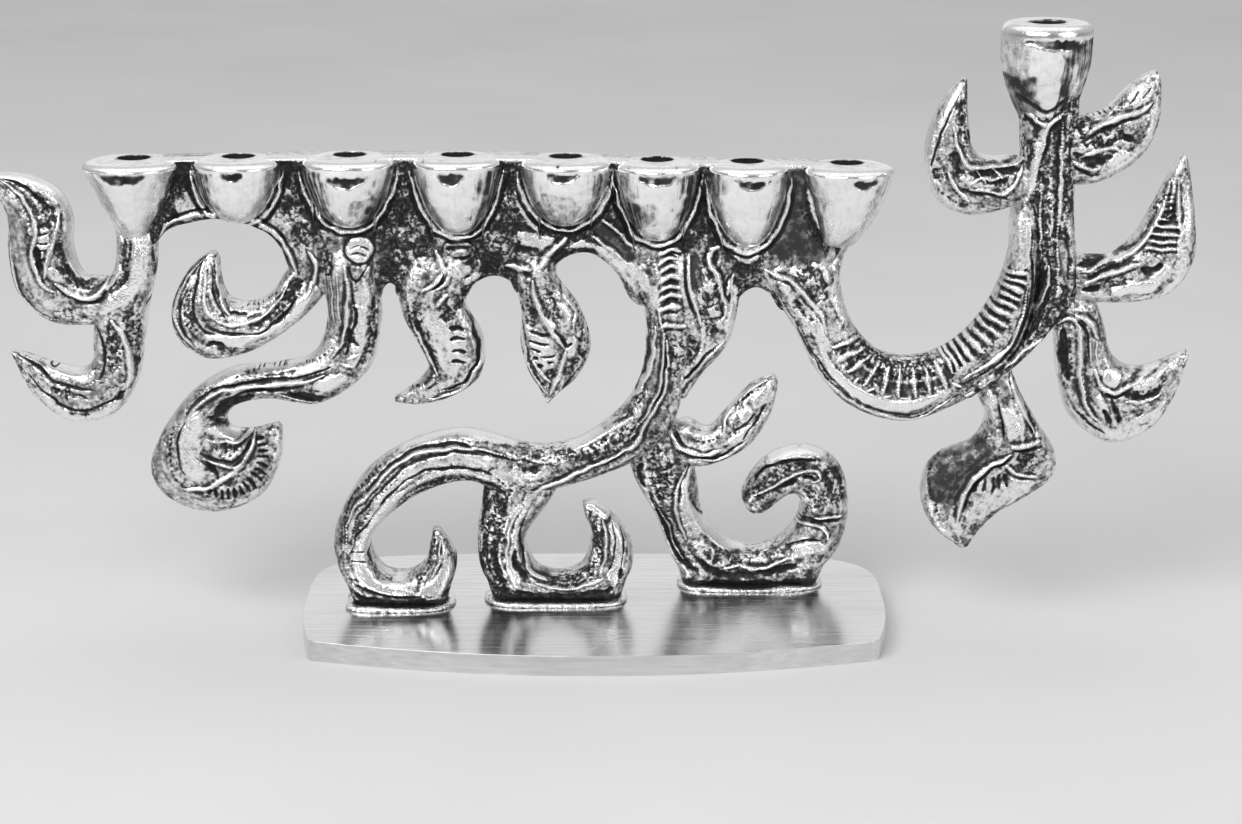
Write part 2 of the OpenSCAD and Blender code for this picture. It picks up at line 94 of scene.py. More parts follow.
RIGHT_FOOT = [
    [9, 64, 28, 66, 0, 0.6], [12, 49, 32, 49, 3, 1], [19.5, 32, 34.5, 32.5, 12, 1],
    [25, 16, 39.5, 24.5, 18, 1], [34, 7, 44.5, 20.5, 20, 1], [50, 5.9, 51, 19, 20, 1],
    [65.5, 7.5, 58.5, 21.5, 20, 1], [78, 18.5, 64, 27, 20, 1], [81.5, 34, 66, 33.5, 20, 0.95],
    [78, 47, 64.5, 37, 20, 0.9], [67, 53, 61.5, 37, 19, 0.9], [54.5, 49.3, 58, 34.5, 18, 0.8],
    [47.2, 39, 54.5, 31.5, 18, 0.65], [48.4, 33, 51.5, 31, 18, 0.45]]
BIG_LEAF = [
    [22, 121, 40, 121, -1, 0.95], [23, 112, 43.5, 111, -1, 0.95], [24, 101, 44.3, 101, -1, 0.95],
    [27, 91, 41, 91, -1, 0.9], [24, 83, 34, 82.5, 0, 0.75], [22, 76, 28.6, 74, 0, 0.5]]
SPROUT = [
    [21, 63.5, 22, 56, 0, 0.5], [28.7, 67, 32, 52, 0, 0.85], [35.5, 64.5, 42, 55, -1, 0.8],
    [42, 71.5, 50, 61, -2, 0.7], [49, 79, 55.5, 70.5, -2, 0.5], [55.8, 81.8, 57.2, 79.5, -2, 0.3]]
LEFT_ARM = [
    [-133.5, 131, -147, 131, 0, 0.85], [-134.7, 116, -147.2, 117, 0, 0.9],
    [-137.3, 104, -153.5, 105, 0, 0.9], [-139.5, 92, -155, 93, 0, 0.9],
    [-142, 79, -155.5, 86.5, 0, 0.9], [-150, 68.7, -159.5, 83.3, 0, 0.85],
    [-163, 66.7, -168, 85, 0, 0.75], [-174.5, 75, -175, 87.7, 0, 0.5],
    [-180.3, 87, -180.8, 89.3, 0, 0.25]]
LEFT_UPPER_LEAF = [
    [-144, 98, -142, 109, 0, 0.5], [-156, 97.5, -151, 112.5, 0, 0.88],
    [-168, 98.7, -157.3, 113.3, 0, 0.9], [-177.5, 107.5, -160.2, 121.5, 0, 0.9],
    [-180, 120, -160, 131.5, 0, 0.85], [-179.7, 130, -164.5, 140, 0, 0.75],
    [-182, 137, -174, 144.2, 0, 0.6], [-186.5, 141, -183, 145, 0, 0.4],
    [-190.5, 143.3, -190, 144.6, 0, 0.2]]
INNER_LEAF = [
    [-80, 111, -88, 122, 0, 0.6], [-86.5, 103, -95, 114, 0, 0.9],
    [-95.5, 95.3, -99.5, 107.5, 0, 0.95], [-108, 88.5, -106, 104.2, 0, 0.95],
    [-120.5, 87, -112, 105.6, 0, 0.95], [-129, 93.5, -114.3, 109.3, 0, 0.9],
    [-130.3, 103.5, -115, 114.3, 0, 0.7], [-125, 114.5, -115.2, 118, 0, 0.45],
    [-118.3, 120.2, -116, 120, 0, 0.25]]
CURL = [
    [-84, 126, -65, 126, 0, 1], [-83.5, 112, -66, 112, 0, 1], [-82.5, 99, -65.7, 98, 0, 1],
    [-87.5, 88, -70, 83, 0, 0.95], [-99.5, 84.7, -85, 72.7, 0, 0.95],
    [-113, 83, -100, 74.3, 0, 0.95], [-126, 75, -110.5, 72.5, 0, 0.95],
    [-135.5, 62, -114.3, 68.3, 0, 0.95], [-138.8, 50, -114.5, 66, 0, 0.95],
    [-132, 40.5, -113.3, 64.3, 0, 0.95], [-118, 37.2, -111, 63.6, 0, 0.95],
    [-104, 43, -106, 63.8, 0, 0.8], [-98, 55, -101.8, 65, 0, 0.55],
    [-97.5, 63.8, -99, 65.8, 0, 0.3]]
FLAME = [
    [-56, 123, -36, 123, 0, 0.95], [-60.3, 110.5, -39, 110.5, 0, 0.95],
    [-59, 100.5, -39, 102.5, 0, 0.95], [-54.5, 91.5, -34, 92.5, 0, 0.95],
    [-51.5, 84.5, -35.5, 81, 0, 0.85], [-54, 80, -45, 74.3, 0, 0.7],
    [-58.5, 76.3, -55, 72, 0, 0.5], [-62, 74, -62, 72.8, 0, 0.3]]
PENDANT = [
    [-27, 123, -8, 123, 0, 0.9], [-24.5, 112, -11.5, 113.5, 0, 0.9],
    [-22.5, 101, -4.5, 103, 0, 0.9], [-22.8, 92, -0.9, 91, 0, 0.85],
    [-20.5, 83, -4.7, 81.5, 0, 0.7], [-17, 77, -10.5, 76, 0, 0.5],
    [-14.9, 72.6, -14, 72.4, 0, 0.25]]
RIGHT_ARM = [
    [45, 119, 77, 119, 0, 1], [53.5, 109, 76, 111, 0, 1], [61.7, 97, 79.5, 99, 0, 1],
    [68.7, 83.3, 86, 90.5, 0, 1], [79.5, 71.8, 93, 87.3, 0, 1], [96, 66.8, 101, 87.3, 0, 1],
    [111, 71.5, 110.5, 91.3, 0, 1], [124, 79.5, 118.5, 99, 0, 1], [133, 93, 124.5, 109.5, 0, 1],
    [136, 110, 127.8, 121, 0, 1], [137, 127, 128, 132, 0, 0.95], [137, 141, 131.5, 142, 0, 0.7]]
STEM = [
    [129.5, 168, 147.5, 168, 0, 1], [130.3, 150, 147.3, 150, 0, 1], [131, 135, 147, 135, 0, 1.06],
    [135, 120, 148.3, 120, 0, 1.1], [136.5, 108, 149.5, 109, 0, 1.1],
    [132, 94, 143, 99, 0, 1.1], [122, 82, 132.5, 87, 0, 1.1], [112, 75.5, 118, 75.5, 0, 0.9]]
RAISED_LEFT_LEAF = [
    [139, 139, 139, 150, 0, 0.45], [126, 134, 128, 150.3, 0, 0.9],
    [114.5, 132, 119.5, 150.3, 0, 0.95], [105.3, 136.5, 115.6, 153, 0, 0.9],
    [101.1, 147.5, 114.4, 159, 0, 0.8], [102.7, 160, 113.7, 166.5, 0, 0.65],
    [108, 169.8, 113.5, 171.5, 0, 0.4], [112, 174, 113.3, 174, 0, 0.25]]
RAISED_UPPER_LEAF = [
    [140, 160, 140, 143, 0, 0.6], [149, 162.5, 150, 141.3, 0, 0.88],
    [155, 164.3, 160, 144.8, 0, 0.85], [161, 170.3, 168.5, 152, 0, 0.75],
    [166.5, 174.7, 172.2, 162, 0, 0.55], [170.6, 176.4, 172.2, 172.5, 0, 0.3]]
RAISED_MIDDLE_LEAF = [
    [141, 119, 141, 107, 0, 0.65], [150, 119.3, 151, 105, 0, 0.95],
    [159, 119.5, 166, 104.8, 0, 0.95], [165.4, 124.5, 178, 107.8, 0, 0.9],
    [169.9, 132, 184.7, 118, 0, 0.75], [174.5, 141.5, 184.5, 131, 0, 0.55],
    [178.5, 149, 182.5, 144, 0, 0.35], [179.8, 150.7, 181.2, 149.8, 0, 0.25]]
RAISED_LOWER_LEAF = [
    [139, 104, 153, 110, 0, 0.6], [142.5, 94, 157.3, 99.5, 0, 0.95],
    [143.8, 82, 160, 89.5, 0, 0.95], [148, 68.5, 164.5, 84.7, 0, 0.95],
    [160.5, 59.7, 169.7, 83.7, 0, 0.85], [173, 63.7, 174.7, 85, 0, 0.7],
    [180.4, 74, 179.6, 87.3, 0, 0.5], [184.6, 87.3, 183.8, 89.2, 0, 0.25]]
RAISED_BOTTOM_LEAF = [
    [117, 84, 128, 88, 0, 0.6], [119.5, 75, 132.7, 76, 0, 0.9],
    [122, 67.5, 138.5, 66, 0, 0.95], [118, 60, 144, 57, 0, 0.95],
    [108, 55.8, 143.7, 48.7, 0, 0.9], [102.9, 49, 136, 42.3, 0, 0.85],
    [102.9, 40, 127, 36.8, 0, 0.7], [107.2, 31.5, 121, 30.3, 0, 0.45],
    [115, 25.2, 118, 25.4, 0, 0.25]]
# The web behind the cups: x and z of its upper edge, then of its lower edge.
WEB = [
    [-134, 148.8, -134.5, 123], [-130, 149, -130.5, 127.4], [-125, 149.1, -124, 129.6],
    [-112, 149.4, -113, 131], [-101, 149.6, -102, 127.6], [-95, 149.7, -96.4, 122.4],
    [-89, 149.8, -94, 116], [-82, 149.8, -92, 110.5], [-76, 149.8, -80, 107],
    [-66.5, 149.8, -66.8, 106], [-65, 149.8, -65.2, 108.6], [-63, 149.8, -63, 110.7],
    [-61, 149.8, -61, 109.6], [-59.5, 149.8, -59.6, 106.5], [-46, 149.7, -46, 106],
    [-40, 149.7, -40, 106], [-36, 149.6, -36.4, 110.8], [-30.5, 149.6, -31, 113],
    [-26, 149.6, -26.2, 111.6], [-23, 149.5, -23, 107.5], [-14, 149.4, -14, 110],
    [-11.5, 149.3, -11.4, 116.6], [-6, 149.1, -6, 120], [0, 149, 0, 119.8],
    [6, 148.8, 7, 114], [12, 148.6, 13.5, 104], [31, 148.1, 31, 104], [42, 147.9, 43, 102],
    [45, 147.9, 45.2, 106.6], [49.5, 147.8, 49.5, 109.4], [53.5, 147.7, 54, 107.6],
    [57, 147.6, 58.5, 102], [66, 147.5, 67, 106], [79, 147.3, 76, 122]]
# The cups of the row, and the dark fleck under each front rim, which is a painted reflection.
Bowl = namedtuple("Bowl", "x top radius height taper fleck_x fleck_half fleck_deep")
CUPS = [
    Bowl(-140.5, 149.5, 15, 22.5, 1, -1.2, 7, 3.9), Bowl(-108.5, 150, 13.6, 20, 0.2, 0, 3.4, 3.7),
    Bowl(-74.5, 150.5, 14.4, 22, 0.2, 0.3, 5.4, 5.9), Bowl(-41.5, 150.5, 13.8, 24, 0.3, -1.5, 3.8, 4.9),
    Bowl(-8.5, 150, 14.2, 21, 0.1, -0.7, 4, 4.1), Bowl(19.5, 149, 13.2, 24.5, 0.3, -0.4, 5.2, 3.9),
    Bowl(47, 148.5, 12.6, 26.5, 0.1, 1.5, 4.6, 4.9), Bowl(77.5, 148, 14, 26, 0.75, 4.5, 3.6, 4.3)]
# How dark the painted shade on a bowl's flanks is, and the grey patch low on it where it has one, a painted
# reflection.
FlankShade = namedtuple("FlankShade", "left right patch_x patch_deep patch_radius", defaults=(0, 0, 0))
FLANK_SHADES = [
    FlankShade(0.35, 0.2), FlankShade(0.75, 0.3), FlankShade(0.75, 0.45, 6, 15, 4.5), FlankShade(0.3, 0.8),
    FlankShade(0.3, 0.5, -3, 14.5, 5.5), FlankShade(0.45, 0.85, -5, 15, 4.5), FlankShade(0.3, 0.45), FlankShade(0.25, 0.3)]
# The end cups run on into their arms: how far down, sideways and back.
End = namedtuple("End", "drop sway tuck")
PLAIN_END = End(0, 0, 0)
ENDS = {0: End(6, 0, 4.5), 7: End(5, -5.2, 4.5)}
# A bowl narrows along its straight wall, and less so past its own height.
WALL_NARROWING = 0.62
NECK_NARROWING = 0.02
# The row cups: how far forward their axis is, their flat back, the round of their tops, and their bores.
CUP_FORWARD = 4.0
CUP_BACK = WEB_THICK / 2 - 0.2
SHOULDER = 2.0
SHOULDER_REACH = 4.2
BORE_RADIUS = 5.1
BORE_DEPTH = 12.0
# The raised cup: its place, its bowl and how far it sinks into the stem, its neck, its round and its bore.
RAISED_X = 137.2
RAISED_TOP = 191.0
RAISED_RADIUS = 13.9
RAISED_HEIGHT = 28.5
RAISED_SINK = 1.2
RAISED_NECK = 7.9
RAISED_NECK_POWER = 2.4
RAISED_SHOULDER = 3.0
RAISED_BORE_RADIUS = 5.7
RAISED_BORE_DEPTH = 18.0
# Points round a cup, and rings on its shoulder, wall, top and bore.
CUP_TURNS = 168
CUP_SHOULDER_RINGS = 12
CUP_WALL_RINGS = 56
CUP_FLAT_RINGS = 10
# How far round a cup its front and its bright middle reach to each side, in radians; past the bright middle
# the flanks take painted shade.
FRONT_TURN = 1.5
FLANK_TURN = 0.62
# Tones of the cups' fronts, the painted shade of their flanks, the painted reflections of their patches and
# flecks, their feet, the painted highlight just under the top, and the pits.
CUP_TONE = 0.04
FLANK_SHADE_TONE = 0.7
GREY_REFLECTION_TONE = 0.26
PAINTED_REFLECTION_TONE = 0.76
FOOT_TONE = 0.3
RIM_HIGHLIGHT = 0.9
CUP_PITS = 0.12
# Tones of the raised cup's front, the painted shade of its right and left, the painted reflections of its
# low patch and fleck, and the pointed line at its foot.
RAISED_TONE = 0.06
RAISED_RIGHT_SHADE_TONE = 0.26
RAISED_LEFT_SHADE_TONE = 0.14
RAISED_GREY_REFLECTION_TONE = 0.3
RAISED_PAINTED_REFLECTION_TONE = 0.8
RAISED_POINT_TONE = 0.95
# Depth under the top where a cup's dents begin, and the depth of the dent under a fleck of painted
# reflection.
DENT_START = 1.5
REFLECTION_SPOT_DENT = 0.6
# Tones of a cup's top and of its bore: at the start, and what wear, the mouth and the depth add; the bore's
# dark tone, darker further down, is painted shade.
TOP_TONE = 0.02
TOP_WEAR = 0.2
MOUTH_TONE = 0.2
BORE_SHADE_TONE = 0.7
BORE_SHADE = 0.3

# Grains of the metals and the floor: scale, detail and, for streaks, the stretch.
FINE_GRAIN = (1500, 2)
PUNCH_GRAIN = (950, 2)
BROAD_GRAIN = (90, 4)
CHASED_GRAIN = (430, 4)
STREAK_GRAIN = (260, 3, (4, 4, 0.25))
SCRATCH_GRAIN = (300, 4)
CLOUD_GRAIN = (28, 3)
FLOOR_GRAIN = (6, 3)
# How much the grains, the tool marks, the punched holes and the pits add to the patina.
FINE_SHARE = 0.12
BROAD_SHARE = 0.18
MARK_SHARE = 0.12
PITTED_MARK_SHARE = 0.3
HOLE_SHARE = 0.55
PIT_SHARE = -0.14
# Depth of the tool marks and holes against the fine grain, and the height of the bumps in metres.
MARK_BUMP = -2.2
HOLE_BUMP = -1.0
CAST_BUMP = 0.0004
BRUSHED_BUMP = 0.0002
# The cast metal from bright to dark: place and level. The roughness starts at the metal's own value.
CAST_COLOUR = [(0.0, 0.98), (0.22, 0.84), (0.42, 0.32), (0.6, 0.06), (1.0, 0.008)]
CAST_ROUGHNESS = [(0.4, 0.36), (1.0, 0.7)]
CAST_METALLIC = [(0.0, 1.0), (0.5, 1.0), (1.0, 0.45)]
FLOOR_COLOUR = [(0.3, 0.64), (0.7, 0.68)]
# The stage in metres: the floor, the lights (place, size, watts, seen by the camera), the room and the eye.
FLOOR_HALF = 4.0
LIGHT_AIM = (0, 0, 0.1)
LIGHTS = [
    ("key", (-0.7, -1.1, 1.15), (1.3, 0.9), 20, True), ("fill", (1.0, -0.8, 0.7), (0.8, 1.0), 5, True),
    ("top", (0.0, 0.3, 1.5), (2.6, 1.5), 6, True), ("back", (0.0, 2.0, 0.6), (1.8, 0.9), 1.5, False)]
ROOM_BRIGHT_SIDE = (0, 0.35, 0.5)
ROOM_LEVELS = [(0.0, 0.25), (0.2, 0.37), (0.5, 0.58), (0.8, 0.7)]
CAMERA_PLACE = (0.0084, -0.9055, 0.3116)
CAMERA_TILT = 75
CAMERA_LENS = 86.96
CAMERA_SENSOR = 36


def lattice(ix, iy, seed):
    """A fixed number from 0 to 1 for each lattice point."""
    n = (ix * 374761393 + iy * 668265263 + seed * 974711) & 0x7FFFFFFF
    n = ((n ^ (n >> 13)) * 1274126177) & 0x7FFFFFFF
    n = ((n ^ (n >> 16)) * 668265263) & 0x7FFFFFFF
    return ((n >> 7) & 0xFFFF) / 65535.0


def noise(x, y, size, seed):
    """Smooth value noise from 0 to 1 with grains of the given size."""
    px = np.asarray(x) / size
    py = np.asarray(y) / size
    ix = np.floor(px).astype(np.int64)
    iy = np.floor(py).astype(np.int64)
    fx = px - ix
    fy = py - iy
    fx = fx * fx * (3 - 2 * fx)
    fy = fy * fy * (3 - 2 * fy)
    low = lattice(ix, iy, seed) * (1 - fx) + lattice(ix + 1, iy, seed) * fx
    high = lattice(ix, iy + 1, seed) * (1 - fx) + lattice(ix + 1, iy + 1, seed) * fx
    return low * (1 - fy) + high * fy


def swing(x, y, size, seed):
    """The same smooth noise, from -0.5 to 0.5."""
    return noise(x, y, size, seed) - 0.5


def ramp(value, soft):
    """0 below -soft, 1 above soft, smooth between."""
    s = np.clip(value / (2 * soft) + 0.5, 0, 1)
    return s * s * (3 - 2 * s)


def bell(value, middle, half):
    """1 at the middle, falling off to both sides."""
    return np.exp(-((value - middle) / half) ** 2)


def toward(value, mask, target):
    """A value brought to a target where the mask is 1."""
    return value + mask * (target - value)


def blurred(field, cells):
    """A field averaged over a square of cells on each side."""
    for axis in (0, 1):
        pad = [(0, 0), (0, 0)]
        pad[axis] = (cells + 1, cells)
        total = np.cumsum(np.pad(field, pad, mode="edge"), axis=axis)
        count = field.shape[axis]
        upper = np.take(total, np.arange(2 * cells + 1, 2 * cells + 1 + count), axis=axis)
        lower = np.take(total, np.arange(0, count), axis=axis)
        field = (upper - lower) / (2 * cells + 1)
    return field


def smooth_rows(path, parts=ROW_PARTS):
    """Rows of a sketch on a smooth curve, and their places counted in sketch rows."""
    rows = np.array(path, dtype=float)
    last = len(rows) - 1
    places = np.linspace(0, last, last * parts + 1)
    i = np.minimum(places.astype(int), last - 1)
    t = (places - i)[:, None]
    a = rows[np.maximum(i - 1, 0)]
    b = rows[i]
    c = rows[i + 1]
    d = rows[np.minimum(i + 2, last)]
    curve = 0.5 * (2 * b + (c - a) * t + (2 * a - 5 * b + 4 * c - d) * t ** 2
                   + (3 * b - a - 3 * c + d) * t ** 3)
    return places, curve


def curve_points(parts, *points):
    """Points of a smooth curve through points given as x, z, x, z."""
    return smooth_rows(np.reshape(points, (-1, 2)), parts)[1]


def run_along(steps):
    """Distance from the start after each step."""
    return np.concatenate([[0], np.cumsum(steps)])


def even_rows(path, step):
    """Rows of a smoothed sketch about one step apart along its longer edge."""
    places, rows = smooth_rows(path)
    moves = np.diff(rows, axis=0)
    longer = np.maximum(np.hypot(moves[:, 0], moves[:, 1]), np.hypot(moves[:, 2], moves[:, 3]))
    reach = run_along(longer)
    wanted = np.linspace(0, reach[-1], int(reach[-1] / step) + 2)
    even = np.stack([np.interp(wanted, reach, rows[:, k]) for k in range(rows.shape[1])], axis=1)
    return np.interp(wanted, reach, places), even


def front_columns(half_width, half_thick, power, step):
    """Places across the front, about one step apart along its rounded section."""
    angle = np.linspace(0, math.pi, SECTION_SAMPLES)
    u = -np.sign(np.cos(angle)) * np.abs(np.cos(angle)) ** (2 / power)
    y = np.sin(angle) ** (2 / power)
    reach = run_along(np.hypot(np.diff(u * half_width), np.diff(y * half_thick)))
    wanted = np.linspace(0, reach[-1], int(reach[-1] / step) + 2)
    return np.interp(wanted, reach, u)


def section_height(u, power):
    """Share of the half thickness at a place across the section."""
    return np.clip(1 - np.abs(u) ** power, 0, 1) ** (1 / power)


def across(rows, u):
    """x and z at places u across each row of a sketch, from -1 at one edge to 1 at the other."""
    middle = (rows[:, 0:2] + rows[:, 2:4]) / 2
    half = (rows[:, 2:4] - rows[:, 0:2]) / 2
    return middle[:, 0:1] + u * half[:, 0:1], middle[:, 1:2] + u * half[:, 1:2]




# Broad strokes of the relief: height in millimetres, patina from 0 bright to 1 dark, pits,
# and the softness of their edges in millimetres.
BROAD = {
    "shine": (0.55, 0.02, 0.06, 0.55),
    "light": (0.35, 0.13, 0.36, 0.8),
    "grey": (0.1, 0.34, 0.2, 0.6),
    "base": (0.0, 0.32, 0.4, 1.8),
    "slate": (-0.3, 0.6, 0.1, 0.7),
    "shade": (-0.6, 0.54, 1.0, 1.2),
    "black": (-1.0, 0.84, 0.6, 0.7),
    "stipple": (-0.35, 0.44, 1.0, 0.8),
    "dark": (-0.5, 0.62, 1.0, 1.0),
}
# How much of its given width a stroke takes, where it isn't all.
NARROW = {"ridge": 0.72, "cut": 0.58, "dots": 0.7, "black": 0.82}
# Untouched ground of a branch, the ground of the web, and the painted shadow along a foot just above the
# plate:
# height, tone and pits.
GROUND = (0.0, 0.32, 0.45)
WEB_GROUND = (-0.2, 0.58, 1.0)
FOOT_SHADOW_GROUND = (-0.3, 0.84, 0.5)
# Height of a ridge, depth and patina of the dark flanks beside it, and the width that has them in full.
RIDGE_HEIGHT = 0.85
FLANK_DEPTH = 0.22
FLANK_WIDTH = 0.7
# Depth and patina of a cut, and the spacing of punched dots along and across a stroke.
CUT_DEPTH = 0.9
CUT_PATINA = 0.97
DOT_PITCH = 1.7
DOT_GAP = 1.3
# The ground of a boss, its height, and the depth and patina of the ring round it.
BOSS_GROUND = (0, 0.14, 0.2)
BOSS_HEIGHT = 1.1
RING_DEPTH = 0.5
RING_PATINA = 0.78
# The hand's drift off its lines, the size of that drift's waves and of the ragged edges of broad strokes.
DRIFT = 0.9
DRIFT_SIZE = 3.1
RAG_SIZE = 1.7
# The fine lines along a branch: width, stretch, patina and depth.
FLOW_WIDTH = 0.95
FLOW_STRETCH = 0.11
FLOW_PATINA = 0.42
FLOW_DEPTH = 0.3
# Swells and ripples of the whole front: size, height and, for ripples, patina.
SWELL_SIZE = 9.0
SWELL_HEIGHT = 0.7
RIPPLE_SIZE = 3.4
RIPPLE_HEIGHT = 0.3
RIPPLE_PATINA = 0.1
# Wear: softening of the relief and darkness of hollows; a painted bright outline along the rims; and where
# the relief runs out.
SOFTENING = 0.45
HOLLOW_PATINA = 0.3
BRIGHT_OUTLINE = 0.14
EDGE_START = 0.92
# Patina of the plain backs, its variation, their pits and their swells.
BACK_PATINA = 0.24
BACK_VARIATION = 0.12
BACK_PITS = 0.08
BACK_SWELL = 0.5
# Height above the plate where a foot is pressed flat, how far into the plate, and the height of the painted
# shadow along its underside.
FOOT_PRESS = 5.4
FOOT_SINK = 0.4
FOOT_SHADOW_HEIGHT = 3.6
# A thinner root, under the web or a cup: its share of the thickness, and its reach in sketch rows.
ROOT_SHARE = 0.68
ROOT_REACH = 0.45
# A foot's pad from its outer edge inwards: share of its outline, height and tone; the dark inner rings next
# to the foot are painted shadow.
PAD_LEVELS = [
    (1.0, 0.0, 0.4), (1.02, 0.4, 0.1), (1.01, 0.9, 0.06), (0.97, 1.3, 0.06), (0.91, 1.5, 0.14),
    (0.85, 1.55, 0.6), (0.78, 1.6, 0.86), (0.66, 2.0, 0.9), (0.4, 2.4, 0.9)]
PAD_HALF_DEPTH = 10.8
PAD_TURNS = 132
PAD_ROUNDNESS = 0.66
PAD_PITS = 0.5
# How uneven a pad's outline, height and patina are.
PAD_UNEVEN = 0.12
PAD_WAVE = 0.6
PAD_WEAR = 0.3


class Relief:
    """Height, tone and pits over the front of one branch, worked stroke by stroke; some of the tone is
    painted light.
    """

    def __init__(self, places, rows, u, seed):
        middle = (rows[:, 0:2] + rows[:, 2:4]) / 2
        half = (rows[:, 2:4] - rows[:, 0:2]) / 2
        along = run_along(np.hypot(*np.diff(middle, axis=0).T))
        one = np.ones((len(places), len(u)))
        self.t = places[:, None] * one
        self.u = u[None, :] * one
        self.width = np.hypot(half[:, 0], half[:, 1])[:, None] * one
        self.along = along[:, None] * one
        self.pace = np.gradient(along, places)[:, None] * one
        self.x, self.z = across(rows, u)
        self.seed = seed
        self.drift_x = self.x + DRIFT * swing(self.x, self.z, DRIFT_SIZE, seed)
        self.drift_z = self.z + DRIFT * swing(self.x, self.z, DRIFT_SIZE, seed + 1)
        self.rag = swing(self.x, self.z, RAG_SIZE, seed + 2)
        self.height, self.patina_and_painted_light, self.pits = (level * one for level in GROUND)

    def lay(self, mask, height, patina_and_painted_light, pits):
        """Lays a finish where the mask is 1."""
        self.height = toward(self.height, mask, height)
        self.patina_and_painted_light = toward(self.patina_and_painted_light, mask, patina_and_painted_light)
        self.pits = toward(self.pits, mask, pits)

    def darken(self, amount):
        """Darkens what is there so far."""
        self.patina_and_painted_light = self.patina_and_painted_light + amount

    def area(self, t0, t1, u0, u1):
        """1 between two places along and two places across the branch, with soft ends."""
        mask = np.ones_like(self.t)
        for inside in ((self.t - t0) * self.pace, (t1 - self.t) * self.pace,
                       (self.u - u0) * self.width, (u1 - self.u) * self.width):
            mask = mask * ramp(inside + self.drift_x - self.x, 0.6)
        return mask

    def band(self, finish, t0, t1, u0, u1):
        """Lays a finish from row to row, past the edges where it reaches them."""
        self.lay(self.area(t0 - 1, t1 + 1, u0 - 1 * (u0 <= -1), u1 + 1 * (u1 >= 1)), *BROAD[finish][:3])

    def spread(self, near, values):
        """A field that is 0 except for the values at some points."""
        field = np.zeros_like(self.u)
        field[near] = values
        return field

    def draw(self, kind, width, *points):
        """Works one stroke along a smooth curve through points given as x, z, x, z."""
        curve = curve_points(STROKE_PARTS, *points)
        margin = 2.6 * width + 1
        low = curve.min(axis=0) - margin
        high = curve.max(axis=0) + margin
        near = (self.x > low[0]) & (self.x < high[0]) & (self.z > low[1]) & (self.z < high[1])
        if not near.any():
            return
        gap = np.hypot(self.drift_x[near][:, None] - curve[:, 0], self.drift_z[near][:, None] - curve[:, 1])
        best = gap.argmin(axis=1)
        far = gap.min(axis=1)
        share = best / (len(curve) - 1)
        taper = np.clip(1 - np.abs(2 * share - 1) ** 3, 0.05, 1) ** 0.7
        thick = width * NARROW.get(kind, 1.0) * taper
        if kind in BROAD:
            *finish, soft = BROAD[kind]
            self.lay(self.spread(near, ramp(thick - far + 1.2 * soft * self.rag[near], soft)), *finish)
            return
        line = bell(far / thick, 0, 1)
        if kind == "ridge":
            flank = FLANK_DEPTH * min(1.0, width / FLANK_WIDTH) * bell(far / thick, 2.2, 0.8)
            self.raise_ridge(self.spread(near, line), self.spread(near, flank))
            return
        if kind == "dots":
            line = line * self.punched(near, far, run_along(np.hypot(*np.diff(curve, axis=0).T))[best])
        mask = self.spread(near, line)
        self.height = self.height - CUT_DEPTH * mask
        self.patina_and_painted_light = toward(self.patina_and_painted_light, mask, CUT_PATINA)

    def raise_ridge(self, line, flank):
        """Raises a bright ridge between dark flanks."""
        self.height = self.height + RIDGE_HEIGHT * line - flank
        self.patina_and_painted_light = self.patina_and_painted_light * (1 - line) + flank
        self.pits = self.pits * (1 - line)

    def punched(self, near, far, run):
        """Staggered punch marks along a stroke."""
        beat = run / DOT_PITCH + 0.5 * np.round(far / DOT_GAP) + 0.6 * self.rag[near]
        marks = (0.5 + 0.5 * np.cos(2 * math.pi * beat)) ** 1.5
        return marks * (0.5 + 0.5 * np.cos(2 * math.pi * far / DOT_GAP)) ** 1.2

    def boss(self, x, z, radius):
        """A round raised boss in a dark ring."""
        far = np.hypot(self.drift_x - x, self.drift_z - z)
        inside = ramp(radius - far, 0.4)
        dome = np.sqrt(np.clip(1 - (far / radius) ** 2, 0, 1))
        ring = bell(far, radius, 0.45)
        self.lay(inside, *BOSS_GROUND)
        self.height = self.height + inside * BOSS_HEIGHT * dome - RING_DEPTH * ring
        self.patina_and_painted_light = toward(self.patina_and_painted_light, ring, RING_PATINA)

    def flow(self):
        """Fine worked lines that run along the branch."""
        lines = swing(self.u * self.width, self.along * FLOW_STRETCH, FLOW_WIDTH, self.seed + 8)
        lines = lines * (0.35 + 0.65 * self.pits)
        self.patina_and_painted_light = self.patina_and_painted_light + FLOW_PATINA * lines
        self.height = self.height - FLOW_DEPTH * lines

    def settle(self):
        """Adds swells, wear and a painted bright outline along the rims, and lets the relief run out at the
        edges.
        """
        swell = swing(self.x, self.z, SWELL_SIZE, self.seed + 3)
        ripple = swing(self.x, self.z, RIPPLE_SIZE, self.seed + 4)
        self.height = (1 - SOFTENING) * self.height + SOFTENING * blurred(self.height, 1)
        hollow = blurred(self.height, 4) - self.height
        # Painted bright outline along the rims of the front.
        rim = ramp(np.abs(self.u) - EDGE_START - 0.01, 0.04)
        self.patina_and_painted_light = self.patina_and_painted_light + HOLLOW_PATINA * hollow + RIPPLE_PATINA * ripple
        self.patina_and_painted_light = np.clip(self.patina_and_painted_light - BRIGHT_OUTLINE * rim, 0, 1)
        self.height = self.height + SWELL_HEIGHT * swell + RIPPLE_HEIGHT * ripple
        self.height = self.height * (1 - ramp(np.abs(self.u) - EDGE_START, 0.08))


# Each kind of stroke is a method of its own: r.ridge(0.7, x, z, x, z).
for stroke in [*BROAD, "ridge", "cut", "dots"]:
    setattr(Relief, stroke, partialmethod(Relief.draw, stroke))


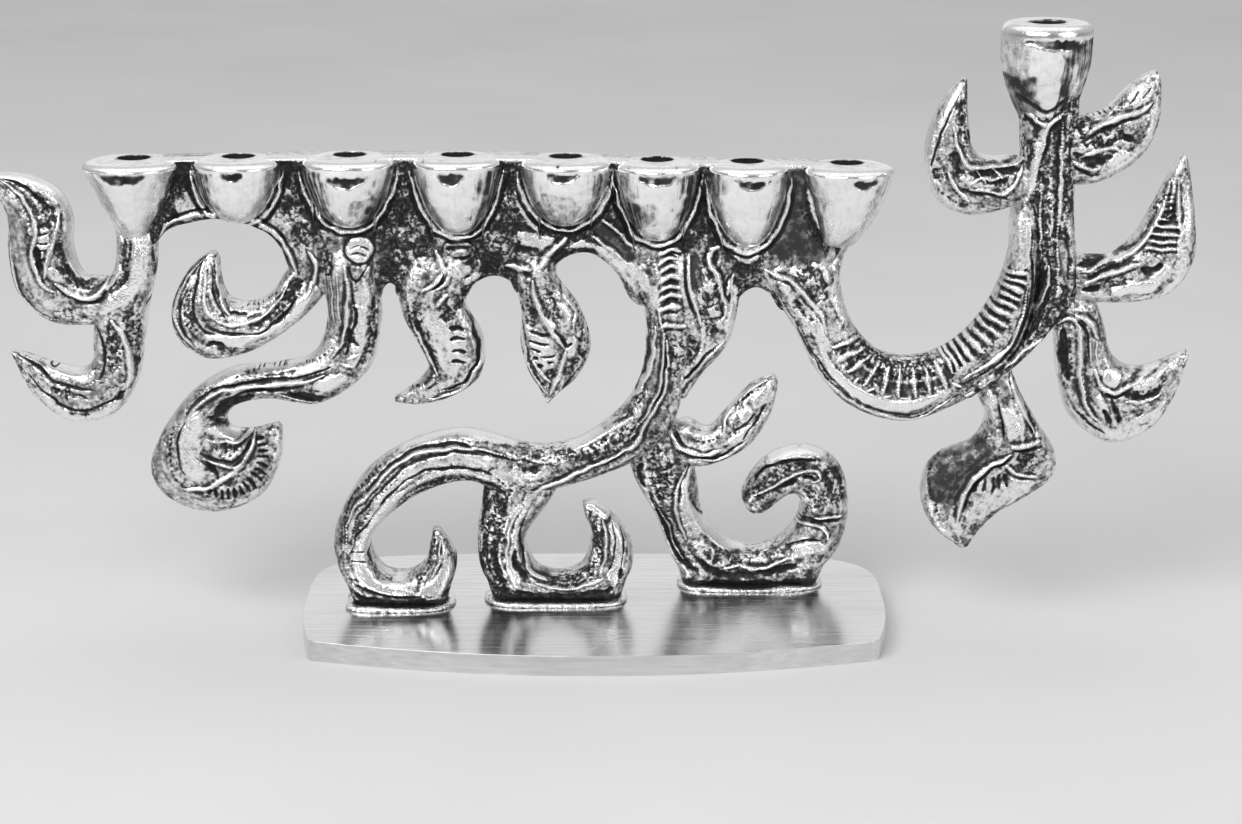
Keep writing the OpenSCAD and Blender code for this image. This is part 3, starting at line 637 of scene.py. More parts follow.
def loft_mesh(name, rings, patina_and_painted_light, pits, metal):
    """A closed tube through rings of points, with a fan at each end."""
    count, around = rings.shape[0], rings.shape[1]
    ends = np.stack([rings[0].mean(axis=0), rings[-1].mean(axis=0)])
    points = np.concatenate([rings.reshape(-1, 3), ends])
    fields = {}
    for field, values in (("patina_and_painted_light", patina_and_painted_light), ("pits", pits)):
        fields[field] = np.concatenate([values.reshape(-1), [values[0].mean(), values[-1].mean()]])
    i, j = np.meshgrid(np.arange(count - 1), np.arange(around), indexing="ij")
    a = i * around + j
    b = i * around + (j + 1) % around
    quads = np.stack([a, b, b + around, a + around], axis=-1).reshape(-1, 4)
    k = np.arange(around)
    after = (k + 1) % around
    first = np.stack([after, k, np.full(around, count * around)], axis=-1)
    start = (count - 1) * around
    final = np.stack([start + k, start + after, np.full(around, count * around + 1)], axis=-1)
    return solid(name, points, quads, np.concatenate([first, final]), fields, metal)


def solid(name, points, quads, triangles, fields, metal):
    """An object with outward faces, smooth shading and its fields."""
    corners = np.concatenate([triangles, quads[:, [0, 1, 2]], quads[:, [0, 2, 3]]])
    p = points[corners]
    volume = np.einsum("ij,ij->i", p[:, 0], np.cross(p[:, 1], p[:, 2])).sum()
    if volume < 0:
        quads = quads[:, ::-1]
        triangles = triangles[:, ::-1]
    mesh = bpy.data.meshes.new(name)
    mesh.from_pydata((points * MM).tolist(), [], quads.tolist() + triangles.tolist())
    mesh.polygons.foreach_set("use_smooth", [True] * len(mesh.polygons))
    for field, values in fields.items():
        attribute = mesh.attributes.new(field, "FLOAT", "POINT")
        attribute.data.foreach_set("value", values.astype(np.float32))
    mesh.materials.append(metal)
    mesh.update()
    return linked(name, mesh)


def linked(name, data):
    """An object with its data, in the scene."""
    piece = bpy.data.objects.new(name, data)
    bpy.context.scene.collection.objects.link(piece)
    return piece


def place(piece, node):
    """Lets a piece stand for one node of the frame."""
    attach(piece, "root")
    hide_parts(node)


def pad(node, x, y, half_length, seed, metal):
    """The low uneven flange of a foot on the plate."""
    angle = np.linspace(0, 2 * math.pi, PAD_TURNS, endpoint=False)
    east = np.cos(angle)
    north = np.sin(angle)
    uneven = 1 + PAD_UNEVEN * swing(9 + 1.6 * east, 9 + 1.6 * north, 1.0, seed)
    out_x = half_length * uneven * np.sign(east) * np.abs(east) ** PAD_ROUNDNESS
    out_y = PAD_HALF_DEPTH * uneven * np.sign(north) * np.abs(north) ** PAD_ROUNDNESS
    wave = 1 + PAD_WAVE * swing(20 + 2 * east, 20 + 2 * north, 1.0, seed + 1)
    wear = PAD_WEAR * swing(30 + 6 * east, 30 + 6 * north, 1.0, seed + 2)
    rings = []
    tones = []
    # The dark inner rings, next to the foot, are painted shadow.
    for share, height, tone in PAD_LEVELS:
        rings.append(np.stack([x + share * out_x, y + share * out_y, PLATE_TOP + height * wave], axis=-1))
        tones.append(tone + wear)
    tones = np.clip(np.stack(tones), 0, 1)
    pits = np.full_like(tones, PAD_PITS)
    place(loft_mesh(node + "_pad", np.stack(rings), tones, pits, metal), node)


def worked_mesh(name, relief, front_y, back_x, back_y, back_z, metal):
    """A tube with the worked relief in front and a plain back."""
    front = np.stack([relief.x, front_y, relief.z], axis=-1)
    back = np.stack([back_x, back_y, back_z], axis=-1)
    rings = np.concatenate([front, back], axis=1)
    rings[..., 2] = np.maximum(rings[..., 2], PLATE_TOP)
    back_patina = BACK_PATINA + BACK_VARIATION * noise(back_x, back_z, 9.0, relief.seed + 10)
    patina_and_painted_light = np.concatenate([relief.patina_and_painted_light, back_patina], axis=1)
    pits = np.concatenate([relief.pits, np.full_like(back_patina, BACK_PITS)], axis=1)
    return loft_mesh(name, rings, patina_and_painted_light, pits, metal)


def branch(node, path, work, seed, rooted, metal):
    """One branch of the casting with its worked front and plain back."""
    places, rows = even_rows(path, STEP)
    down = ramp(PLATE_TOP + FOOT_PRESS - rows[:, 1], 2.2)
    rows[:, 1] = toward(rows[:, 1], down, PLATE_TOP - FOOT_SINK)
    widest = np.hypot(rows[:, 2] - rows[:, 0], rows[:, 3] - rows[:, 1]).max() / 2
    relief = Relief(places, rows, front_columns(widest, BRANCH_THICK / 2, BRANCH_POWER, STEP), seed)
    work(relief)
    relief.flow()
    relief.settle()
    # Painted shadow along the foot's underside, just above the plate.
    above = relief.z - PLATE_TOP
    relief.lay(ramp(FOOT_SHADOW_HEIGHT - above + 1.8 * relief.rag, 0.9), *FOOT_SHADOW_GROUND)
    half_thick = rows[:, 5:6] * BRANCH_THICK / 2
    if rooted:
        half_thick = half_thick * toward(ROOT_SHARE, ramp(places - ROOT_REACH, ROOT_REACH), 1)[:, None]
    front_y = rows[:, 4:5] - half_thick * section_height(relief.u, BRANCH_POWER) - relief.height
    back_u = np.cos(np.linspace(0, math.pi, BACK_COLUMNS + 2)[1:-1])
    back_x, back_z = across(rows, back_u)
    back_y = rows[:, 4:5] + half_thick * section_height(back_u, BRANCH_POWER)
    back_y = back_y - BACK_SWELL * swing(back_x, back_z, 8.0, seed + 9)
    place(worked_mesh(node + "_cast", relief, front_y, back_x, back_y, back_z, metal), node)


def bowl_radius(bowl, deep):
    """Radius of a row cup's bowl at a depth under its top."""
    share = np.clip((deep - SHOULDER) / (bowl.height - SHOULDER), 0, 1)
    past = np.clip(deep - bowl.height, 0, None)
    rounded = (1 - bowl.taper) * np.sqrt(np.clip(1 - share ** 2, 0, 1))
    straight = bowl.taper * (1 - WALL_NARROWING * share - NECK_NARROWING * past)
    roll = np.clip(1 - deep / SHOULDER, 0, 1)
    eased = bowl.radius - SHOULDER_REACH * (1 - np.sqrt(1 - roll ** 2))
    return np.where(deep < SHOULDER, eased, bowl.radius * (rounded + straight))


def raised_radius(deep):
    """Radius of the raised cup at a depth under its top."""
    share = np.clip((deep - RAISED_SHOULDER) / (RAISED_HEIGHT - RAISED_SHOULDER), 0, 1)
    wall = RAISED_RADIUS - (RAISED_RADIUS - RAISED_NECK) * share ** RAISED_NECK_POWER
    roll = np.clip(1 - deep / RAISED_SHOULDER, 0, 1)
    eased = RAISED_RADIUS - RAISED_SHOULDER * (1 - np.sqrt(1 - roll ** 2))
    return np.where(deep < RAISED_SHOULDER, eased, wall)




# The strokes on each branch's relief r, in order: the width, then x and z of each point, in millimetres.

def work_trunk(r):
    r.darken(0.06)
    r.light(2, 5, 121, 10, 117.5, 14.3, 113.5, 17.9, 108.6, 19.3, 103.6)
    r.dots(0.8, 9.3, 115, 13.6, 108.6, 16, 102.9)
    r.grey(1.8, 18.9, 97, 18.2, 85, 15.7, 76.4, 11.4, 70.7)
    r.stipple(2.8, 14, 66, 8, 62, 1, 58, -5, 56)
    r.ridge(0.8, 15.9, 101, 15.7, 92.9, 14.3, 85, 10.7, 77.9, 4.3, 70, 0, 65.7)
    r.cut(0.6, 17.4, 103, 17.2, 93, 15.6, 84.6, 12.2, 77.6, 6, 69.6, 1, 64.8)
    r.dots(0.8, 17.1, 101, 17.1, 92.9, 15.4, 84.3, 12.1, 77.1, 6.4, 70, 0, 64.3)
    r.ridge(0.7, 18.7, 99, 18.7, 92.9, 17.1, 85, 14.3, 78.6, 9.3, 72.1, 4.3, 67.9)
    r.shade(1, 16.4, 80.7, 13.6, 73.6, 8.6, 67.9, 3.6, 63.6)
    r.ridge(0.7, 19.3, 107, 20.7, 98.6, 21.8, 92, 21.4, 85, 20, 77.9, 16.4, 70.7, 10.7, 63.6)
    r.cut(0.7, 21.4, 98, 22.3, 88, 21.6, 81, 18.8, 73.6, 14, 66)
    r.ridge(0.8, 22.3, 95, 23, 89.3, 22.6, 83.6, 20.6, 75.7, 15.9, 67.9, 12.9, 61.4, 7.1, 57.1, 0, 52.9)
    r.stipple(2.4, 25, 96, 25.5, 88, 25, 82)
    r.shade(0.8, 24.6, 93, 24.8, 86, 23.6, 79)
    for z in (121.2, 118.2, 115.6, 112.6, 109.9, 107, 103.8, 98.2):
        lean = 28.5 - 0.09 * (z - 98) + 0.8 * math.sin(4.1 * z)
        dip = 0.7 * math.sin(2.3 * z)
        r.ridge(0.85, 19.8, z - 0.7, 23.5, z + 0.9 + dip, lean, z + 0.5)
        r.cut(0.45, 20.6 + dip, z - 2.2, 23.5, z - 0.6 + dip, lean - 1, z - 1.0)
    r.grey(1.2, 23, 101, 27, 101.4)
    r.grey(1, 11, 70.5, 0, 65, -11, 61.8, -21, 62.6, -30, 65.5, -38, 67, -47, 65.5, -56, 62.4, -66, 56.5,
           -74.5, 48, -79, 38, -80.5, 29, -79.5, 19)
    r.shine(1.7, 11, 69, 1, 62.7, -8, 59.4, -17, 59.4, -26, 61.4, -33.6, 63, -41, 63.8, -49, 62.9, -55.5,
            60.6, -62, 56.6)
    r.cut(0.5, 8, 69.4, -1, 64.4, -11, 61.2, -21, 61.5)
    r.light(2.1, -27, 53.5, -34, 55, -42.7, 56.4, -51, 55.3, -59, 50, -67.3, 41.8, -72.7, 33.6)
    r.stipple(1.8, -5, 57.5, -14, 56.8, -24, 58.5)
    r.cut(0.6, -10, 53.6, -18, 54.5, -26.4, 56, -33.6, 58, -41, 60.3, -48, 60.3, -56.4, 58, -63.6, 53.6,
          -71, 46.4, -76.4, 40)
    r.ridge(0.7, -24, 55.6, -34.5, 58.8, -41.8, 59.3, -49, 59, -56.4, 56.8, -63.6, 52.3, -70, 45.5, -76.4,
            37.3, -78.4, 26)
    r.cut(0.7, -31.8, 57, -39, 57.9, -46.4, 57.9, -54.5, 55.6, -61.8, 50.6, -68, 44, -73.6, 37.4, -76.6, 27)
    r.dots(1, -64, 55, -71, 49, -76, 42.5, -78.9, 34, -79.4, 26)
    r.dots(0.8, -58, 52, -65, 46, -71, 38.5, -75, 30)
    r.shade(1.1, -26, 46.6, -33, 48.6, -41, 49.6, -48.4, 49, -55, 46.4)
    r.light(0.9, -24.5, 45.6, -31, 49.2, -38, 51.3, -45, 51.6, -52, 50.3, -59, 46)
    r.cut(0.7, -22.7, 47.4, -28, 49.6, -35.5, 52.2, -41, 53, -47, 53, -54.5, 51.6, -61.8, 46.4, -68, 39,
          -73.6, 31.8, -76.4, 24.5)
    r.shine(2.3, -58, 46.4, -65, 39.4, -70, 31.5, -73.4, 23, -71, 16.4, -64.6, 13, -57.4, 12.4)
    r.cut(0.6, -47, 46.8, -55, 44.8, -62.7, 38, -68, 31.4, -70.7, 25.4, -69.5, 20)
    r.light(2.2, -31.8, 51.6, -26.4, 50.4, -21, 51, -14, 52)
    r.shade(1.2, -22, 53, -17.5, 52.6)
    r.dark(1.3, -36, 47, -30.6, 45, -27.4, 42)
    r.ridge(0.8, 11, 60, 5.5, 56.4, -1, 53.6, -8, 50, -14.5, 46.8, -20, 44, -24, 41)
    r.dots(0.9, -31, 50, -27, 47, -24.4, 43.6)
    r.cut(0.6, -35, 48.6, -30, 46.6, -26, 43.4)
    r.cut(0.5, -76.4, 25.8, -71.5, 25.6)
    r.cut(0.5, -76.4, 22.6, -71.3, 22.4)
    r.grey(1.5, -53.5, 26.4, -57, 20, -63.5, 17.6, -68.5, 20.5)
    r.dots(1.5, -50.2, 31, -51, 25.5, -52.7, 19.5, -55.5, 15)
    r.shine(1, -57.5, 15.4, -55.5, 15.8)
    r.light(2, -46.8, 26, -46.4, 19, -50, 13.6, -55.5, 11.4)
    r.ridge(0.6, -48.6, 28, -48.6, 22, -51.4, 16.6)
    r.shine(1.1, -64, 14.8, -58, 15.4)
    r.black(1.2, -43.4, 28, -42.3, 21.8, -43.6, 15.5, -47, 11)
    r.cut(0.7, -76.4, 15.5, -69, 11.8, -61, 10.6, -53.6, 11.2)
    # Painted shadow along the foot's underside.
    r.black(1.7, -78, 12.7, -67, 8.4, -58, 7.4, -48, 9)


def work_centre_foot(r):
    r.band("dark", 0, 4.6, -1, -0.16)
    r.stipple(2.6, -30.6, 40, -31.2, 33.6, -31, 24.5)
    r.dots(0.8, -29, 38.6, -33.2, 34.5, -35, 29, -34.5, 22.7)
    r.dots(0.8, -27.6, 37, -28.6, 30, -28.8, 22)
    r.light(0.6, -35.3, 43, -36.2, 33.6, -36, 24.5)
    r.light(1.9, -18, 44.5, -23.6, 38, -25.4, 32.7, -26, 26.4, -26, 19, -24, 13.8)
    r.ridge(0.6, -22, 41, -26, 34.6, -27.4, 26.4, -27.3, 18)
    r.grey(1.5, -17.4, 42.4, -20.7, 36.4, -21.9, 29, -21.2, 22.7, -17.3, 17.8, -11, 16, -4.5, 18.4)
    r.cut(0.6, -19.4, 41, -22.6, 33.6, -23.2, 26.4, -21, 19, -15.5, 15.5, -8, 15, -1.8, 19)
    r.black(0.9, -25.4, 25.5, -24, 19, -21, 15.2)
    r.ridge(0.6, -22.4, 24, -20.4, 18, -15, 14.2)
    r.stipple(1.7, -14.5, 13.6, -5.5, 14.2, -1, 18)
    r.ridge(0.7, -19, 14, -11.8, 12.2, -3.6, 13, 2.7, 15.5)
    # Painted shadow along the foot's underside.
    r.black(1.4, -31.8, 11.4, -21, 9.6, -10, 9.2, 1, 10.4, 6, 12)
    r.shade(1.6, 0.4, 35, 1.4, 27.3, 0.8, 20, -1.8, 16.4)
    r.light(2.2, 5.4, 34, 7.6, 26.4, 7, 19, 4.5, 15)
    r.ridge(0.7, 2.4, 34.6, 3.8, 26.4, 2.6, 18.6)
    r.cut(0.5, 5.6, 33, 6.6, 25, 4.4, 17.4)
    r.cut(0.5, 8.4, 31, 9.6, 24.6, 8.4, 17.4)
    r.black(1, 8.6, 18, 8.2, 16)
    r.shine(1.5, -3, 38.8, 1.8, 37, 4.8, 35.2)
    r.shade(0.9, -2, 36.6, 0, 34)
    r.grey(1, 1, 40.6, 8, 34.5, 11.2, 26)


def work_right_foot(r):
    r.darken(0.07)
    r.stipple(4, 19, 60, 20.6, 53, 22, 46, 23.4, 40)
    r.black(1.8, 17.4, 43, 21.6, 33, 24.6, 25, 28, 17.5, 33, 13.4)
    r.ridge(0.5, 18.4, 40, 23, 31.5, 25.6, 22.6, 28.8, 17)
    r.light(0.7, 13, 50, 16.4, 42.3, 19.6, 33, 22.7, 23.8, 25.8, 17)
    r.black(0.9, 14.4, 54, 13.8, 50.5, 16, 45.6)
    r.light(2.1, 27.6, 40, 28.4, 36, 30.4, 30, 33, 25.6)
    r.ridge(0.7, 29, 53, 26.6, 47, 25.7, 41.5, 25.9, 36, 27.3, 30, 29.6, 23.8)
    r.grey(1, 31.3, 48.6, 31.8, 39.4, 35.6, 30.6, 41.6, 25, 48, 23.8, 55, 25.8, 62, 29.4)
    r.shine(1.4, 29.8, 52, 28.7, 46, 29, 40.8, 31.2, 34.6, 35.2, 28.3, 39.8, 23.6, 45, 20.8, 51, 20.6, 58,
            23.6, 64.2, 28.8)
    r.cut(0.5, 30.8, 41, 33, 35, 37, 28.8, 42, 24, 48, 22.5, 55, 24.4)
    r.light(2, 32.6, 23, 38.6, 17.4, 46, 15.8)
    r.stipple(1.8, 34, 21.5, 39.4, 17.2, 46, 16.4, 55, 18)
    # Painted shadow along the bottom of the foot.
    r.black(1.4, 30.4, 20.4, 35.8, 14.2, 42, 12, 51, 11.6, 58.8, 13.4, 65, 15)
    r.ridge(0.7, 40, 13.6, 46.5, 14.8, 52.7, 13.4, 58.8, 15.8, 63.5, 17.6)
    r.grey(1.8, 60.4, 22.4, 66, 25, 71.4, 25.2)
    r.shine(1.9, 63.6, 18, 68.8, 20.8, 74, 21)
    r.cut(0.5, 61, 20.6, 67, 23, 72.6, 23.2)
    r.grey(1.7, 74, 20, 78, 27, 79.7, 33, 80.8, 39.2)
    r.ridge(0.7, 63.6, 28.4, 69.6, 28.6, 73.5, 27, 74.4, 23.6)
    r.black(0.8, 65.6, 30.4, 72.7, 29.8, 78.4, 30.4)
    r.ridge(0.6, 70, 31, 75, 30.8, 79.4, 31.6)
    r.shade(3.2, 75, 47, 76.2, 40.8, 73.6, 35)
    r.stipple(2.6, 69, 40, 69.5, 33)
    r.grey(1.7, 81.2, 41.5, 78.8, 48.3, 74.2, 53, 66.5, 55, 58.8, 54.4, 52.7, 51.3, 48, 45.8, 46.9, 40)
    r.shade(1.8, 52, 40.6, 57.3, 45.6, 62.7, 47.6, 67, 48.6)
    r.shine(1.4, 54.6, 48.6, 58.8, 50.8, 64.2, 51.7, 70.4, 52, 75, 50.8)
    r.cut(0.8, 50.6, 42.4, 54, 47, 60.4, 48.9, 66.5, 49.8, 71, 49.6)
    r.dots(0.9, 49, 45, 52, 49, 57, 52)
    r.ridge(0.6, 49, 37.6, 53, 39, 57.3, 41.5, 62, 44.6, 66.5, 46.4, 71, 45.8, 72, 43.6, 69, 42)
    r.black(1, 57, 39.6, 60.6, 41.8, 63.8, 43.6)
    r.black(0.8, 66.5, 44.4, 70, 43.6)
    r.dots(1.4, 49.4, 40, 54, 37.6)


def work_big_leaf(r):
    r.stipple(4.2, 35, 116, 35.6, 107, 35.6, 99)
    r.slate(1.9, 31, 121, 31.2, 116, 31.4, 110)
    r.cut(0.7, 27.8, 122, 27.6, 113, 28.9, 106.6, 31, 101)
    r.ridge(0.7, 29, 121.6, 28.8, 114.3, 30, 107.6, 31.8, 103, 33, 98.6)
    r.shade(1.6, 37.4, 122, 37.4, 116.4, 40.4, 110.7, 42.2, 104)
    r.shade(1, 34.2, 121.6, 34.2, 117.4, 36.4, 113.4)
    r.ridge(0.9, 40, 123.6, 36.2, 122.4, 35.5, 118.6, 37.9, 114.3, 39.6, 109.3, 40.4, 104.3, 39.4, 99)
    r.light(1.1, 42.6, 111.5, 43, 105.7, 41.9, 97.9, 39.4, 92.6, 36, 88)
    r.ridge(0.7, 43.4, 114, 41.8, 111.4, 41.2, 108)
    r.light(1.2, 33.6, 110, 36.6, 111.6)
    r.light(1.3, 35.4, 104, 38, 102)
    r.shade(1.5, 34.4, 97.4, 38, 97)
    r.shade(2.2, 29, 97, 30, 91, 28, 86)
    r.light(0.8, 30.4, 99.4, 31.6, 95)
    r.light(0.9, 37, 93, 31.4, 86.8, 27.9, 82)
    r.cut(0.7, 38.8, 93, 32.3, 86, 28.6, 81.4, 25, 76.6)
    r.ridge(0.8, 40.4, 94.4, 34.3, 87, 30, 82, 26.4, 77.9, 23.4, 74.6)
    r.dots(0.9, 29.6, 90, 26.8, 84.6)


def work_sprout(r):
    r.grey(1.6, 26.2, 71, 27.6, 65.7, 30, 62.4)
    r.black(0.9, 24.6, 71, 25, 64.3, 27.9, 60)
    r.light(2.2, 31.4, 62.4, 37.6, 62)
    r.dots(1.6, 30.6, 62, 34, 61, 38.6, 62.6)
    r.ridge(0.9, 23.4, 72, 23.7, 64.3, 26.4, 59.3, 30.7, 57.3, 35.7, 57.3, 40, 59.4)
    r.cut(0.6, 27, 57.4, 31, 56.4, 38, 56.6, 44, 59.6)
    r.ridge(0.6, 30.7, 55.4, 38.6, 55.6, 44.3, 58.6, 48.6, 63.4)
    r.light(1.3, 34.3, 66.6, 40, 73, 45.7, 78.8, 51.4, 81.4, 55.7, 82)
    r.shine(1.6, 49.4, 72.6, 52, 75.4, 54.4, 78.4)
    r.shine(1.3, 45.2, 68.4, 49, 71.4)
    r.dots(1.1, 42.6, 71.6, 47, 75.4, 53, 78)
    r.ridge(0.6, 40, 63.6, 41, 68.6, 44.3, 73.8, 50, 78.4, 54.6, 80.4)
    r.shade(1.6, 42.8, 65.4, 44.6, 65)
    r.shine(1.4, 41.6, 61, 46.5, 63.6, 49, 67)
    r.cut(0.7, 45.7, 62, 50, 67.9, 53.6, 73.6)
    r.grey(1, 49.4, 63.6, 54, 69.3, 56, 76.4)
    r.cut(0.5, 41.6, 64, 46, 66.6, 50, 71)


def work_left_arm(r):
    r.light(1.8, -136.8, 128, -136.6, 117, -138.4, 109)
    r.shine(2.3, -140, 127, -140, 116.7, -141.9, 110.8, -148.3, 105.6, -153.6, 102)
    r.cut(0.7, -134.9, 123, -134.7, 114, -135.8, 108.3, -138, 104.6)
    r.grey(1.6, -144, 127, -144.4, 118)
    r.light(1.6, -146.6, 113.4, -143.6, 117)
    r.shade(1.3, -143.6, 127, -142.4, 122.5, -143.4, 116.7, -144.6, 112.3, -148.3, 108.4)
    r.dots(1.5, -143, 127, -141.6, 122.5, -142.9, 116.7, -144.2, 112.3, -148.3, 108)
    r.ridge(0.6, -152, 108, -148.6, 110.6, -146, 115)
    r.shade(2.6, -144.2, 104.4, -141, 99, -140.6, 93.3, -141.2, 86.7)
    r.light(1, -138, 103.3, -138.6, 93.3, -140.8, 83.3, -145.2, 75)
    r.stipple(2.2, -149.4, 97.6, -147.8, 91, -147.8, 84)
    r.ridge(1, -148.6, 100.4, -145.2, 95.4, -143.5, 90, -143.1, 83.3, -144.4, 78)
    r.cut(0.8, -153.3, 98.6, -151.4, 93.3, -151, 86.7, -152.7, 80.8)
    r.grey(1.3, -155, 99, -153.4, 92, -153.8, 86)
    r.grey(3.4, -168, 79, -160, 75.6, -151, 79)
    r.stipple(1.6, -169, 77.6, -164.6, 78, -160, 76)
    r.shine(1.8, -171, 86.6, -163, 83.4, -157.5, 81.8, -154.4, 83.4)
    r.cut(0.4, -169.6, 85.6, -167, 84.8, -165, 85.4)
    r.grey(1.3, -179, 89.8, -170, 87.8, -160.2, 85.2)
    r.cut(0.8, -178.3, 88, -171.7, 84.6, -167.5, 80.8, -161.7, 78.8, -155, 78.3)
    r.cut(0.8, -175.8, 83.4, -170, 76.4, -163.3, 72, -155.8, 71.3, -150, 74.2, -145.8, 76.5)
    r.black(1.3, -147.6, 74.8, -145.8, 76.8)
    r.light(1.2, -175, 80, -167.5, 72, -159.2, 68, -150.8, 70.4, -143.3, 77.5)
    r.dots(1, -163.6, 70.2, -156, 69.6)
    r.cut(0.5, -163.6, 78, -163, 74.6)
    r.cut(0.5, -159.6, 77, -156.6, 74.6)


def work_left_upper_leaf(r):
    r.grey(3.4, -178.6, 139, -176.6, 128, -176, 118, -173.4, 110, -168, 105, -160, 103)
    r.dots(0.7, -176, 113, -172, 107)
    r.light(1.2, -184, 144.4, -173, 144.4, -165, 141, -160.6, 134)
    r.shine(1.9, -181, 144.6, -172.5, 143.8, -166.7, 140.2, -163, 136.6)
    r.shade(2.7, -171, 139, -167.2, 134, -167, 129.6)
    r.black(0.9, -169, 129.4, -165.6, 129.2)
    r.cut(0.8, -180, 143.6, -173.3, 141.2, -169.2, 137.8, -164.4, 133.4)
    r.light(2.4, -168, 127, -168, 121, -168.6, 115)
    r.black(0.9, -170, 123, -169.5, 115.6)
    for z in (126.6, 124, 121.4, 118.8):
        r.cut(0.5, -170, z, -166.6, z + 0.6)
    r.ridge(0.7, -181, 143.4, -175.8, 139.8, -171.9, 135, -170.4, 130.8, -170.6, 125.8, -171.8, 120.8,
            -170.8, 115, -168.8, 110.8, -164.2, 108.3)
    r.ridge(0.7, -163.3, 133.3, -163.8, 130, -164.6, 125.8, -165.8, 121.7, -167.5, 117.5, -168.8, 112.6)
    r.shade(1.7, -163.2, 126, -162, 117.4, -159, 112.6, -153.3, 112.6)
    r.dots(1.1, -164.4, 117, -161, 112, -156, 110.6)
    r.grey(1.4, -161.4, 134, -160.9, 125, -159.6, 116.7, -156, 113.6, -151.7, 113.4)
    r.light(1.6, -166.4, 116.4, -163.4, 112.4)
    r.ridge(0.9, -165.4, 111.6, -160, 108.2, -155, 106.9, -150.8, 109.6, -148.3, 113.4)
    r.cut(0.7, -164.4, 109.4, -155, 105.6, -149, 108.4, -146.4, 112.6)
    r.dots(1, -160, 110.4, -152, 109.8)
    r.ridge(0.5, -178.7, 125, -178.2, 116.7, -176.5, 108.3, -171, 101.7, -161.7, 99.4)
    r.stipple(1.6, -166, 103, -156, 101.6)


def work_inner_leaf(r):
    r.shine(1.9, -86, 110, -89.4, 104.6, -96, 98.3, -105, 94.4, -112, 93.6, -119.5, 95.4)
    r.grey(1.2, -91, 101, -99, 95, -108, 91.4)
    r.stipple(2.1, -90.6, 112, -93, 108, -98, 101.6, -104, 98.6)
    r.shade(1.8, -90.4, 113, -92, 110)
    r.light(1.9, -94, 112.4, -101.5, 105, -107.6, 103, -111.4, 104.6)
    r.dots(1.4, -96, 109.6, -102, 105.2, -108.4, 103.6)
    r.ridge(0.7, -93, 113, -96.3, 106.7, -101.5, 102, -106.7, 99.2, -112.8, 99, -116.3, 100)
    r.cut(0.7, -88.6, 113, -92.8, 104.8, -98, 99.4, -104, 96, -112, 96, -118.9, 97.8)
    r.black(0.8, -111.4, 102.2, -106.7, 101.7)
    r.shine(1.2, -112, 100.8, -106.4, 100.3)
    r.grey(1.2, -120, 116, -121, 108, -120.4, 100)
    r.shade(1.2, -122.8, 110, -124.2, 102, -122.4, 97.4)
    r.cut(0.7, -120.2, 117.8, -122.2, 110, -122.8, 104, -121, 97.8, -116.3, 95.9)
    r.ridge(0.5, -118.9, 118, -119.5, 110, -118.7, 103, -115.4, 99.6)
    r.cut(0.5, -117.3, 117.4, -117, 110, -115.2, 104, -112.8, 100.4)
    r.ridge(0.6, -116, 119.6, -115.6, 112.6, -113.9, 104.8, -111.5, 101.6)
    r.ridge(0.6, -119.4, 118.6, -125, 112.4, -128.5, 105.5, -128.9, 100.2, -126.7, 95, -122.4, 90.2)
    r.cut(0.6, -124, 110.4, -127.2, 104, -126.7, 97.6, -123.3, 92.4)
    r.dots(0.9, -125.6, 105, -125.2, 99, -122, 94)
    r.black(0.9, -119.4, 91.6, -117, 92.8, -114.6, 92.4, -113.6, 90.4)
    r.light(1.2, -118.6, 90.6, -116, 90.4)
    r.ridge(0.7, -88, 122, -85, 117.6, -85.9, 112.6, -88.5, 106.3)


